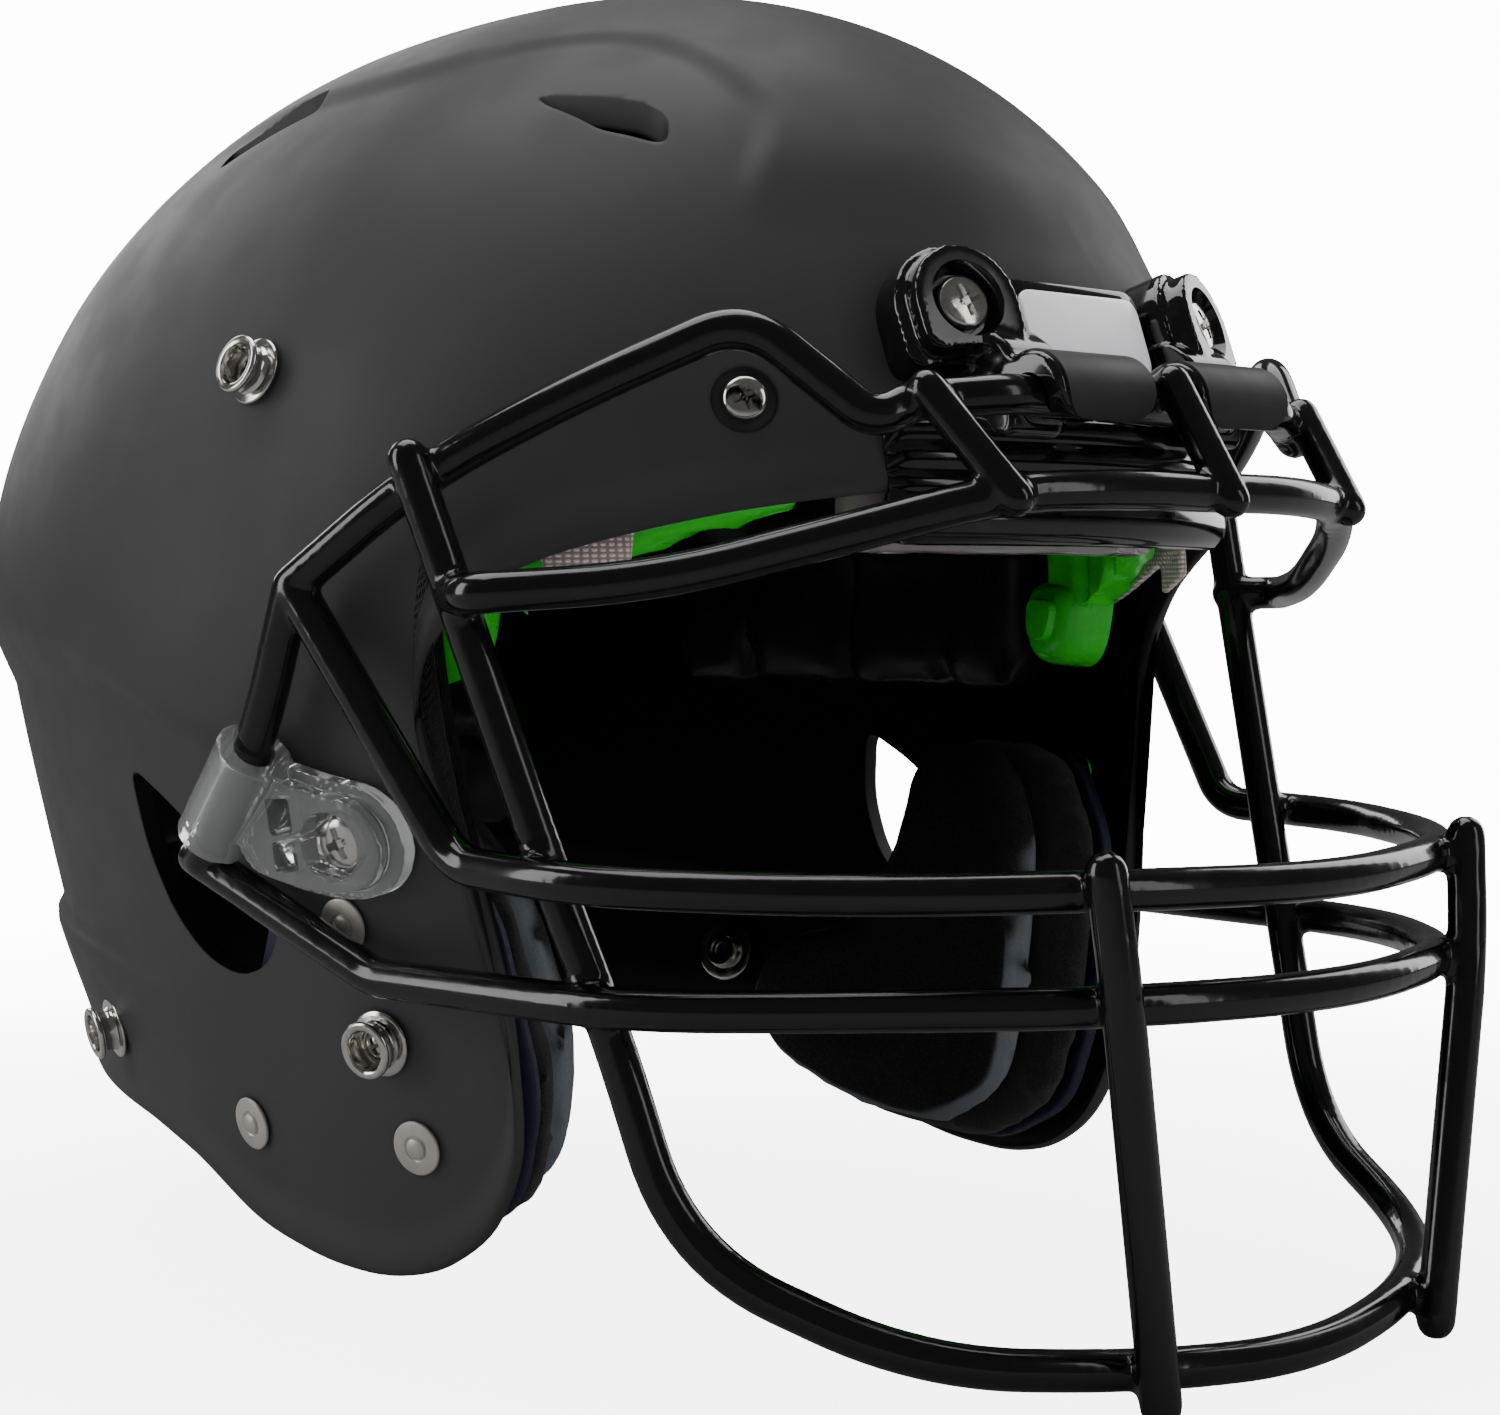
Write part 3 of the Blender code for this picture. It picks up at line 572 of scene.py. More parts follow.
def modified(mesh, *steps):
    """The mesh after modifiers, each a kind and its settings."""
    worker = bpy.data.objects.new("worker", mesh)
    bpy.context.scene.collection.objects.link(worker)
    for kind, settings in steps:
        modifier = worker.modifiers.new(kind, kind)
        for key, value in settings.items():
            setattr(modifier, key, value)
    evaluated = worker.evaluated_get(bpy.context.evaluated_depsgraph_get())
    made = bpy.data.meshes.new_from_object(evaluated)
    bpy.data.objects.remove(worker)
    return made


def remeshed(mesh, voxel, rounds, factor=0.5):
    """The mesh welded into one smooth skin, with voxels of a size in millimetres."""
    return modified(mesh, ("REMESH", {"mode": "VOXEL", "voxel_size": voxel}),
                    ("SMOOTH", {"factor": factor, "iterations": rounds}))


def cut(mesh, *tools, operation="DIFFERENCE"):
    """The mesh less the tools, which don't touch each other, or where it meets them with INTERSECT."""
    tool = bpy.data.objects.new("tool", joined(*tools))
    bpy.context.scene.collection.objects.link(tool)
    made = modified(mesh, ("BOOLEAN", {"object": tool, "operation": operation, "solver": "EXACT"}))
    bpy.data.objects.remove(tool)
    return made


def aim(point, axis):
    """A matrix that puts local +Z along an axis, with its origin at a point."""
    return Matrix.Translation(point) @ Vector(axis).to_track_quat("Z", "Y").to_matrix().to_4x4()


def basis(point, x_axis, z_axis):
    """A matrix at a point, with local Z along one axis and local X as near another as it can be."""
    z = Vector(z_axis).normalized()
    x = Vector(x_axis)
    x = (x - z * x.dot(z)).normalized()
    turn = Matrix((x, z.cross(x), z)).transposed().to_4x4()
    return Matrix.Translation(point) @ turn


def rod(start, end, radius, sides=32, tip=None):
    """A closed cylinder or cone between two points."""
    bm = bmesh.new()
    start, end = Vector(start), Vector(end)
    bmesh.ops.create_cone(bm, cap_ends=True, segments=sides, radius1=radius,
                          radius2=radius if tip is None else tip, depth=(end - start).length)
    bmesh.ops.transform(bm, matrix=aim((start + end) / 2, end - start), verts=bm.verts)
    return to_mesh(bm)


def ball(point, radius):
    """A ball."""
    bm = bmesh.new()
    bmesh.ops.create_uvsphere(bm, u_segments=24, v_segments=14, radius=radius)
    bmesh.ops.translate(bm, vec=point, verts=bm.verts)
    return to_mesh(bm)


def block(outline, low, high):
    """An outline in local X and Y pushed along local Z."""
    bm = bmesh.new()
    face = bm.faces.new([bm.verts.new((x, y, low)) for x, y in outline])
    pushed = bmesh.ops.extrude_face_region(bm, geom=[face])
    top = [item for item in pushed["geom"] if isinstance(item, bmesh.types.BMVert)]
    bmesh.ops.translate(bm, vec=(0, 0, high - low), verts=top)
    return to_mesh(bm)


def rounded(outline, radius, steps=6):
    """The outline with each corner rounded."""
    made = []
    count = len(outline)
    for k in range(count):
        here = Vector(outline[k]).to_3d()
        before = Vector(outline[k - 1]).to_3d() - here
        after = Vector(outline[(k + 1) % count]).to_3d() - here
        first = here + before.normalized() * min(radius, before.length * 0.45)
        last = here + after.normalized() * min(radius, after.length * 0.45)
        for step in range(steps + 1):
            t = step / steps
            spot = first * (1 - t) ** 2 + here * 2 * t * (1 - t) + last * t ** 2
            made.append((spot.x, spot.y))
    return made


def rectangle(low_a, high_a, low_b, high_b):
    """A four-cornered outline."""
    return [(low_a, low_b), (high_a, low_b), (high_a, high_b), (low_a, high_b)]


def lathe(profile, sides=48):
    """A turned piece about local Z from a closed loop of (radius, height)."""
    bm = bmesh.new()
    rings = []
    for step in range(sides):
        angle = 2 * math.pi * step / sides
        rings.append([bm.verts.new((r * math.cos(angle), r * math.sin(angle), h)) for r, h in profile])
    count = len(profile)
    for step in range(sides):
        near, far = rings[step], rings[(step + 1) % sides]
        for k in range(count):
            bm.faces.new([near[k], near[(k + 1) % count], far[(k + 1) % count], far[k]])
    bmesh.ops.remove_doubles(bm, verts=bm.verts, dist=1e-4)
    return to_mesh(bm)


def arc(centre, radius, start, end, steps=6):
    """Points of (radius, height) round an arc, in degrees."""
    made = []
    for step in range(steps + 1):
        angle = math.radians(start + (end - start) * step / steps)
        made.append((centre[0] + radius * math.cos(angle), centre[1] + radius * math.sin(angle)))
    return made


def loft(rings):
    """A skin over a row of equal closed loops, closed at both ends."""
    count = len(rings[0])
    points = [p for ring in rings for p in ring]
    faces = []
    for k in range(len(rings) - 1):
        for j in range(count):
            a, b = k * count + j, k * count + (j + 1) % count
            faces.append((a, b, b + count, a + count))
    faces.append(tuple(range(count))[::-1])
    faces.append(tuple(range(len(points) - count, len(points))))
    bm = bmesh.new()
    bm.from_mesh(mesh_from(points, faces))
    return to_mesh(bm)


def piece(name, mesh, body, look, nodes=(), angle=40.0, place=None):
    """Make an object of a mesh in millimetres, paint it, and let it ride on its body."""
    made_mesh = mesh.copy()
    made_mesh.transform(TO_FRAME if place is None else Matrix.Scale(MM, 4))
    made_mesh.shade_smooth()
    made_mesh.set_sharp_from_angle(angle=math.radians(angle))
    made_mesh.materials.clear()
    made_mesh.materials.append(LOOKS[look])
    made_mesh.name = name
    made = bpy.data.objects.new(name, made_mesh)
    bpy.context.scene.collection.objects.link(made)
    if place is not None:
        made.matrix_world = Matrix.Translation((place.translation + STAND) * MM) @ place.to_3x3().to_4x4()
    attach(made, body)
    if nodes:
        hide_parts(*nodes)
    return made


# ---- the shell --------------------------------------------------------------------------------
def rim_line(count):
    """Turn and height of evenly spaced points along the left half of the rim, brow to nape."""
    points = [np.array(side_point(y, z)) for y, z in RIM]
    points[0][0] = 0.0
    points[-1] = skin(math.pi, RIM[-1][1])
    lengths = np.concatenate([[0.0], np.cumsum([np.linalg.norm(b - a) for a, b in zip(points, points[1:])])])
    wanted = np.linspace(0.0, lengths[-1], count + 1)
    y = np.interp(wanted, lengths, [p[0] for p in RIM])
    z = np.interp(wanted, lengths, [p[1] for p in RIM])
    for _ in range(6):
        z[1:-1] = (z[:-2] + 2 * z[1:-1] + z[2:]) / 4
        y[1:-1] = (y[:-2] + 2 * y[1:-1] + y[2:]) / 4
    turns = np.array([turn_at(a, b) for a, b in zip(y, z)])
    turns[0], turns[-1] = 0.0, math.pi
    return turns, z


def relief(points, rim_gap):
    """How far the moulded form stands out from the plain skin, in millimetres."""
    x, y, z = np.abs(points[..., 0]), points[..., 1], points[..., 2]
    upper = -33.5 - 22.0 / (1.0 + np.exp(y / 14.0))
    band = 5.0 + 8.0 * smooth(-30.0, 90.0, y)
    fold = np.clip((z - upper + band) / band, 0.0, 1.0)
    swell = FOLD_STEP * fold * (1.0 - smooth(0.0, 60.0, z - upper)) * smooth(-42.0, -6.0, y)
    lower = -90.0 - 11.5 * np.clip((100.0 - y) / 92.0, 0.0, 1.2)
    edge = np.clip((lower - z) / 2.5, 0.0, 1.0)
    lip = LIP_STEP * edge * smooth(-28.0, 0.0, z - lower) * smooth(-4.0, 34.0, y)
    half = 42.0 + 26.0 / (1.0 + np.exp(-(y + 58.0) / 9.0)) + 13.0 * (1.0 - smooth(38.0, 62.0, z))
    panel = PANEL_RISE * smooth(-2.5, 2.5, half - x) * smooth(34.0, 52.0, z) * (1.0 - smooth(0.0, 60.0, y))
    flare = RIM_FLARE * (1.0 - smooth(0.0, 9.0, rim_gap)) * smooth(14.0, 30.0, x)
    return swell + lip + panel + flare


def shell_skin(columns=200, rows=190, lip_steps=6):
    """The closed shell: outer skin, rounded rim and inner skin, as one grid of columns."""
    turns, heights = rim_line(columns)
    turns = np.concatenate([turns, -turns[-2:0:-1]])
    heights = np.concatenate([heights, heights[-2:0:-1]])
    even = np.linspace(0.0, math.pi, columns + 1)
    even = np.concatenate([even, -even[-2:0:-1]])
    start = np.where(heights < WAIST_Z, (heights - WAIST_Z) / CROWN_RISE,
                     np.arcsin(np.clip((heights - WAIST_Z) / CROWN_RISE, -1, 1)))
    t = np.arange(rows) / rows
    rise = start[:, None] + (math.pi / 2 - start[:, None]) * t
    z = np.where(rise < 0, WAIST_Z + CROWN_RISE * rise, WAIST_Z + CROWN_RISE * np.sin(rise))
    turn = turns[:, None] + (even - turns)[:, None] * smooth(0.0, 0.7, t)
    base = skin(turn, z)
    out = normals(base)
    gap = np.concatenate([np.zeros((len(turns), 1)),
                          np.cumsum(np.linalg.norm(np.diff(base, axis=1), axis=-1), axis=1)], axis=1)
    outer = base + out * relief(base, gap)[..., None]
    inner = outer - out * SHELL_WALL
    down = outer[:, :1] - outer[:, 2:3]
    rim_out = out[:, :1]
    down = down - rim_out * np.sum(down * rim_out, -1, keepdims=True)
    down = down / np.linalg.norm(down, axis=-1, keepdims=True)
    angle = np.linspace(0.0, math.pi, lip_steps + 2)[1:-1]
    middle = (outer[:, :1] + inner[:, :1]) / 2
    angle = angle[None, :, None]
    lip = middle + SHELL_WALL / 2 * (rim_out * np.cos(angle) + down * np.sin(angle))
    grid = np.concatenate([outer[:, ::-1], lip, inner], axis=1)
    count, depth = grid.shape[0], grid.shape[1]
    faces = []
    for k in range(count):
        j = (k + 1) % count
        for row in range(depth - 1):
            faces.append((k * depth + row, k * depth + row + 1, j * depth + row + 1, j * depth + row))
    points = grid.reshape(-1, 3).tolist()
    crown = skin(0.0, WAIST_Z + CROWN_RISE) + np.array([0, 0, 1.5])
    points += [crown.tolist(), (crown - np.array([0, 0, SHELL_WALL])).tolist()]
    for k in range(count):
        j = (k + 1) % count
        faces.append((k * depth, j * depth, len(points) - 2))
        faces.append((j * depth + depth - 1, k * depth + depth - 1, len(points) - 1))
    return mesh_from(points, faces, "shell_skin")


def shell_tools():
    """Everything that is cut out of the shell: ear openings, vents, screw holes and the brow screws' cups."""
    tools = []
    ear = rounded(EAR_OUTLINE, 5.0, 5)
    for side in SIDES.values():
        low, high = sorted((60.0 * side, 130.0 * side))
        column = block([(-z, y) for y, z in ear], low, high)
        tools.append(moved(column, Matrix.Rotation(math.pi / 2, 4, "Y")))
        tools.append(block([(x * side, y) for x, y in rounded(VENT_OUTLINE, 2.0, 6)], 40, 100))
        ends = [Vector((x * side, y)) for x, y in SLIT_ENDS]
        across = (ends[1] - ends[0]).normalized().orthogonal() * SLIT_HALF
        slit = [ends[0] - across, ends[0] + across, ends[1] + across, ends[1] - across]
        tools.append(block(rounded([tuple(spot) for spot in slit], 2.0, 6), 30, 100))
        point = side_point(*SIDE_SCREW_YZ, side)
        out = normal_at(point)
        tools.append(rod(point - out * 12, point + out * 8, 2.6))
        point = front_point(*BROW_SCREW_XZ, side)
        out = normal_at(point)
        tools.append(rod(point - out * 1.7, point + out * 8, 5.6, 48, 7.5))
    return tools


piece("shell_skin", cut(shell_skin(), *shell_tools()), "shell", "shell", ["outer_shell"], 50.0)


# ---- the face guard ---------------------------------------------------------------------------
TOP_BAR = [(117, -60.5, -26, 0), (109.5, -84, -8.5, 40), (95.5, -106.5, 5, 60), (74, -127.3, 18.3, 14),
           (60.5, -144, 1, 10), (53, -146, 4.5, 8), (38, SWING_Y, SWING_Z, 10), (0, SWING_Y, SWING_Z, 0)]
EYE_BAR = [(108, -93, -27.5, 0), (113, -103, -27.5, 6), (91, -124.5, -25.5, 30), (65.6, -149, -16.5, 60),
           (48, -161, -11, 30), (25, -168, -10, 50), (0, -169, -10, 0)]
NOSE_BAR = [(117, -60.5, -26, 0), (107.3, -92.4, -73, 12), (107.5, -125, -74.2, 25), (84, -159.5, -75, 50),
            (50, -183.2, -75, 60), (0, -195.0, -76, 0)]
MOUTH_BAR = [(112, -24, -75.5, 0), (104, -66, -94.5, 14), (99.5, -126, -95, 25), (81.5, -154, -94, 50),
             (50, -185.2, -93.5, 60), (0, -197.5, -94, 0)]
CHIN_BAR = [(112.4, -86.5, -5, 0), (100.3, -109, -75, 60), (95.2, -117.8, -100, 60), (90, -128.5, -136, 20),
            (72, -165, -151, 26), (40, -184, -154, 40), (0, -190.5, -157, 0)]
HANGER_BAR = [(117, -60.5, -26, 0), (115.6, -48, -54, 20), (112.2, -26, -76, 0)]
FRONT_BAR = [(52.5, -186.8, -71.5, 0), (50.5, -188.8, -93, 60), (40.5, -189, -158.5, 0)]
BROW_POST = [(53.5, -149.5, 6.5, 0), (48, -164.2, -12, 0)]
MIDDLE_POST = [(0, -159.5, 9.5, 0), (0, -172.5, -11.5, 0)]


def mirrored(vector, side):
    """The vector on the left (1) or the right (-1)."""
    return Vector((vector[0] * side, vector[1], vector[2]))


def whole(points):
    """A bar's corners from the left end to the right end, with its middle as a flowing corner."""
    middle = (*points[-1][:3], FREE_BEND)
    return points[:-1] + [middle] + [(-x, y, z, radius) for x, y, z, radius in reversed(points[:-1])]


def bent(points, steps=12):
    """The centre line of a bar: each corner a bend, and corners of FREE_BEND or more one flowing curve."""
    line = [Vector(points[0][:3])]
    for k in range(1, len(points) - 1):
        here = Vector(points[k][:3])
        before = Vector(points[k - 1][:3]) - here
        after = Vector(points[k + 1][:3]) - here
        reach = points[k][3] / math.tan(before.angle(after) / 2)
        if points[k][3] >= FREE_BEND:
            reach = max(before.length, after.length)
        reach = min(reach, before.length * 0.48, after.length * 0.48)
        first = here + before.normalized() * reach
        last = here + after.normalized() * reach
        for step in range(steps + 1):
            t = step / steps
            line.append(first * (1 - t) ** 2 + here * 2 * t * (1 - t) + last * t ** 2)
    line.append(Vector(points[-1][:3]))
    return line


def tube(line, radius, sides=20):
    """A round bar along a line, with domed ends."""
    rings = []
    side = (line[1] - line[0]).orthogonal().normalized()
    stations = [(line[0], line[1] - line[0], -math.sin(a), math.cos(a)) for a in (1.2, 0.8, 0.4)]
    for k, spot in enumerate(line):
        before = line[max(k - 1, 0)]
        after = line[min(k + 1, len(line) - 1)]
        stations.append((spot, after - before, 0.0, 1.0))
    stations += [(line[-1], line[-1] - line[-2], math.sin(a), math.cos(a)) for a in (0.4, 0.8, 1.2)]
    for spot, heading, push, share in stations:
        heading = heading.normalized()
        side = (side - heading * side.dot(heading)).normalized()
        other = heading.cross(side)
        centre = spot + heading * push * radius
        ring = []
        for j in range(sides):
            angle = 2 * math.pi * j / sides
            ring.append(centre + (side * math.cos(angle) + other * math.sin(angle)) * radius * share)
        rings.append(ring)
    return loft(rings)


def welds(lines, reach=WELD_REACH, radius=3.4):
    """A weld bead wherever two bars pass close to each other."""
    beads = []
    for a in range(len(lines)):
        for b in range(a + 1, len(lines)):
            first = np.array(lines[a])
            second = np.array(lines[b])
            gap = np.linalg.norm(first[:, None] - second[None], axis=-1)
            for k, j in zip(*np.where(gap < reach)):
                near = gap[max(k - 8, 0):k + 9, max(j - 8, 0):j + 9]
                if gap[k, j] <= near.min() and 1.0 < gap[k, j]:
                    beads.append(ball((first[k] + second[j]) / 2, radius))
    return beads


def dense(line, spacing=2.0):
    """The line with points every few millimetres."""
    made = [line[0]]
    for a, b in zip(line, line[1:]):
        count = max(1, round((b - a).length / spacing))
        made += [a.lerp(b, k / count) for k in range(1, count + 1)]
    return made


def trued(mesh, lines):
    """The fused bars with every point that is clear of a weld put back on its bar's exact round."""
    lines = [(np.array(dense(line, 1.0)), radius) for line, radius in lines]
    spots = np.concatenate([line for line, radius in lines])
    owner = np.concatenate([np.full(len(line), k) for k, (line, radius) in enumerate(lines)])
    heading = np.concatenate([np.gradient(line, axis=0) for line, radius in lines])
    heading /= np.linalg.norm(heading, axis=1, keepdims=True)
    radii = np.concatenate([np.full(len(line), radius) for line, radius in lines])
    clear = np.zeros(len(spots))
    for k, (line, radius) in enumerate(lines):
        others = spots[owner != k]
        mine = np.where(owner == k)[0]
        gaps = np.array([np.linalg.norm(others - spot, axis=1).min() for spot in line])
        clear[mine] = smooth(WELD_REACH, CLEAR_REACH, gaps)
        clear[mine[:END_SPOTS]] = 0.0
        clear[mine[-END_SPOTS:]] = 0.0
    tree = KDTree(len(spots))
    for k, spot in enumerate(spots):
        tree.insert(spot, k)
    tree.balance()
    points = points_of(mesh)
    nearest = np.array([tree.find(point)[1] for point in points])
    along = np.sum((points - spots[nearest]) * heading[nearest], axis=1, keepdims=True)
    centre = spots[nearest] + heading[nearest] * along
    out = points - centre
    out /= np.maximum(np.linalg.norm(out, axis=1, keepdims=True), 1e-6)
    wanted = centre + out * radii[nearest][:, None]
    set_points(mesh, points + (wanted - points) * clear[nearest][:, None])
    return mesh


def guard_mesh():
    """The whole guard: every bar and weld fused into one coated skin."""
    lines = []
    for points in (TOP_BAR, EYE_BAR, NOSE_BAR, MOUTH_BAR, CHIN_BAR):
        lines.append((bent(whole(points)), BAR_R))
    for points, radius in ((HANGER_BAR, BAR_R), (FRONT_BAR, BAR_R), (BROW_POST, UPRIGHT_R)):
        for side in SIDES.values():
            lines.append(([mirrored(spot, side) for spot in bent(points)], radius))
    lines.append((bent(MIDDLE_POST), UPRIGHT_R))
    bars = [tube(line, radius + 0.08) for line, radius in lines]
    beads = welds([dense(line) for line, radius in lines])
    voxel = 0.75
    return trued(remeshed(joined(*bars, *beads), voxel, 5), lines)


piece("guard_weldment", guard_mesh(), "guard", "coated_steel", ["face_guard"], 80.0)


# ---- screws, studs and rivets -----------------------------------------------------------------
def phillips_head(radius, height, shank, tip):
    """A pan-head screw: domed head with a cross recess, and a plain shank."""
    dome = arc((radius - 1.3, height - 1.3), 1.3, 0, 70, 5)
    crown = [(radius * 0.55, height + 0.12), (radius * 0.25, height + 0.30), (0.0, height + 0.34)]
    profile = [(0.0, -shank), (tip, -shank), (tip, 0.0), (radius, 0.0), (radius, 0.5)] + dome + crown
    body = lathe(profile, 56)
    wing = radius * 0.58
    slots = []
    for turn in (0.35, 0.35 + math.pi / 2):
        slot = block(rectangle(-wing, wing, -radius * 0.14, radius * 0.14), height - 1.3, height + 2.0)
        slots.append(moved(slot, Matrix.Rotation(turn, 4, "Z")))
    body = cut(body, slots[0])
    body = cut(body, slots[1])
    pit = rod((0, 0, height - 1.8), (0, 0, height + 0.6), 0.3, 16, radius * 0.30)
    return cut(body, pit)


def stud_mesh():
    """A chin-strap stud: wide foot, waist, and a rolled ring round its bore."""
    profile = [(2.7, 0.0), (5.9, 0.0)] + arc((5.8, 0.5), 0.4, -60, 80, 5)
    profile += [(5.2, 1.05), (4.6, 1.2), (4.25, 1.6), (4.1, 2.2), (4.1, 3.4), (4.3, 4.0)]
    profile += arc((4.75, 4.6), 0.62, -70, 100, 8)
    profile += [(4.2, 5.2), (3.85, 5.0), (3.7, 4.4), (3.7, 1.3), (3.4, 0.9), (2.7, 0.9)]
    return lathe(profile, 64)


def rivet_mesh():
    """A flat disc with a shallow ring and a small dome, and its tail inside the shell."""
    profile = [(0.0, -5.6), (3.4, -5.6), (3.4, -5.0), (1.8, -4.8), (1.8, 0.0), (4.7, 0.0)]
    profile += arc((4.7, 0.4), 0.4, -90, 90, 5)
    profile += [(2.5, 0.80), (2.2, 0.55), (2.0, 0.55), (1.9, 1.05), (1.4, 1.3), (0.7, 1.42), (0.0, 1.44)]
    return lathe(profile, 56)


def tee_nut_mesh():
    """A flanged barrel nut with its rim rolled."""
    profile = [(2.5, 0.0), (6.6, 0.0)] + arc((6.6, -0.55), 0.55, 90, -90, 5)
    profile += [(4.4, -1.1), (3.9, -1.5), (3.9, -3.3), (3.6, -3.6), (2.5, -3.6)]
    return lathe(profile, 40)


screw_head = phillips_head(4.0, 2.2, 8.0, 2.1)
clip_screw = phillips_head(5.1, 2.6, 8.0, 2.1)
stud_screw = phillips_head(2.7, 1.1, 8.0, 2.1)
stud_body = stud_mesh()
rivet_body = rivet_mesh()
tee_nut = tee_nut_mesh()


def seated(name, mesh, look, node, spot, height, body="shell"):
    """A turned piece on the skin at a spot, at a height above it and facing out."""
    out = normal_at(spot)
    piece(name, mesh, body, look, [node], 30.0, aim(spot + out * height, out))


for name, side in SIDES.items():
    for kind, (y, z) in STUDS_YZ.items():
        spot = side_point(y, z, side)
        seated(f"{kind}_stud_{name}", stud_body, "chrome", f"{kind}_snap_stud_{name}", spot, SEAT_GAP - 0.2)
        seated(f"{kind}_stud_screw_{name}_head", stud_screw, "chrome", f"{kind}_stud_screw_{name}", spot,
               SEAT_GAP + 0.8)
        seated(f"{kind}_stud_tee_{name}", tee_nut, "chrome", f"{kind}_stud_nut_{name}", spot, NUT_SEAT)
    for kind, (y, z) in RIVETS_YZ.items():
        spot = side_point(y, z, side)
        seated(f"rivet_{kind}_{name}", rivet_body, "disc", f"jaw_rivet_{kind}_{name}", spot, 0.3)
    for kind, spot, screw, height, body in (
            ("brow", front_point(*BROW_SCREW_XZ, side), screw_head, -0.6, "shell"),
            ("side", side_point(*SIDE_SCREW_YZ, side), clip_screw, 1.9, f"side_screw_{name}"),
            ("top_clip", front_point(*TOP_SCREW_XZ, side), clip_screw, 7.4, "shell")):
        seated(f"{kind}_screw_{name}_head", screw, "chrome", f"{kind}_screw_{name}", spot, height, body)
        seated(f"{kind}_tee_{name}", tee_nut, "chrome", f"{kind}_nut_{name}", spot, NUT_SEAT)


# ---- the clips --------------------------------------------------------------------------------
def tomb(radius, down, corner=4.0):
    """An outline with a round top and a squarer foot."""
    top = [(radius * math.cos(a), radius * math.sin(a)) for a in np.linspace(0.0, math.pi, 25)]
    foot = rounded([(-radius, 0.0), (-radius, -down), (radius, -down), (radius, 0.0)], corner, 6)
    return top + foot[7:21]


SIDE_VIEW = Matrix(((0, 0, 1, 0), (1, 0, 0, 0), (0, 1, 0, 0), (0, 0, 0, 1)))   # local X, Y to Y, Z


def top_clip_mesh():
    """The left top clip: a stepped tower for the screw and an arm that holds the tongue."""
    point = front_point(*TOP_SCREW_XZ)
    out = normal_at(point)
    place = basis(point, (1, 0, 0), out)
    tower = [block(tomb(11.9, 10.2), -3.0, 6.6), block(tomb(10.2, 8.8), 5.0, 11.0)]
    parts = [moved(mesh, place) for mesh in tower]
    arm = rounded([(-151, -1.2), (-133, 0.5), (-128, 13), (-143, 19), (-150, 14.5)], 3.0, 4)
    parts.append(moved(block(arm, 19.5, 32.8), SIDE_VIEW))
    parts.append(tongue_plate(7.7, 6.2, 33.0, 7.0))
    body = remeshed(joined(*parts), 0.6, 4)
    pivot = Vector((0, SWING_Y, SWING_Z))
    bore = rod(pivot, pivot + Vector((60, 0, 0)), BAR_R + CLIP_RUN, 40)
    recess = rod(point + out * 7.4, point + out * 16.0, 5.8, 48, 9.0)
    body = cut(body, bore)
    return cut(body, recess)


def tongue_plate(radius, low, high, corner):
    """A round bar's cover whose lower corners are rounded when seen from the front."""
    pivot = Vector((0, SWING_Y, SWING_Z))
    bar = rod(pivot + Vector((low, 0, 0)), pivot + Vector((high, 0, 0)), radius, 56)
    foot = SWING_Z - 3.6 - (radius - 7.7)
    outline = rounded([(low, foot), (high, foot), (high, SWING_Z + 12), (low, SWING_Z + 12)], corner, 10)
    prism = moved(block(outline, 120, 190), Matrix.Rotation(math.pi / 2, 4, "X"))
    return cut(bar, prism, operation="INTERSECT")


def tongue_face_mesh():
    """The matte skin over the front and top of a tongue."""
    face = tongue_plate(8.05, 7.6, 31.5, 6.4)
    pivot = Vector((0, SWING_Y, SWING_Z))
    core = rod(pivot, pivot + Vector((60, 0, 0)), 7.45, 56)
    away = Vector((0, 0.93, -0.37))
    behind = block(rectangle(-10, 60, -15, 15), -7.2, 30)
    return cut(cut(face, core), moved(behind, basis(pivot + away * 9.2, (1, 0, 0), away)))


def side_clip_mesh():
    """The left side clip: a clear stepped arm with two pockets, and a barrel on the hanger bar."""
    point = side_point(*SIDE_SCREW_YZ)
    out = normal_at(point)
    place = basis(point, (0, 1, 0), out)
    outline = rounded([(22, 17.5), (2, 11.6), (-8, 9.6), (-13.5, 4.5), (-14.5, -2.5), (-11, -8.3),
                       (-3, -10.6), (8, -9.4), (21, -5.5)], 7.0, 6)
    inner = rounded([(22, 15.8), (2, 9.6), (-5.5, 8.2), (-10.5, 4.0), (-11.6, -1.5), (-8.6, -6.6),
                     (-2.5, -8.7), (8, -7.6), (21, -4.0)], 6.0, 6)
    upper = Vector(HANGER_BAR[1][:3])
    lower = Vector(HANGER_BAR[2][:3])
    along = (lower - upper).normalized()
    parts = [moved(block(outline, 0.9, 4.4), place), moved(block(inner, 3.0, 7.4), place),
             rod(upper + along * 1.6, upper + along * 24.6, 6.9, 40)]
    body = remeshed(joined(*parts), 0.45, 3)
    tools = [moved(block(rounded(rectangle(7.6, 13.0, 2.2, 8.8), 0.8, 3), 2.4, 12.0), place),
             moved(block(rounded(rectangle(7.6, 13.0, -4.6, 0.9), 0.8, 3), 2.4, 12.0), place),
             rod(point + out * 1.9, point + out * 14.0, 5.9, 40, 7.0),
             rod(upper - along * 20, lower + along * 20, BAR_R + CLIP_RUN, 40)]
    body = cut(body, tools[0], tools[1], tools[2])
    body = cut(body, tools[3])
    seat = moved(block(rectangle(-40, 60, -40, 40), -30.0, 0.9), place)
    return cut(body, seat)


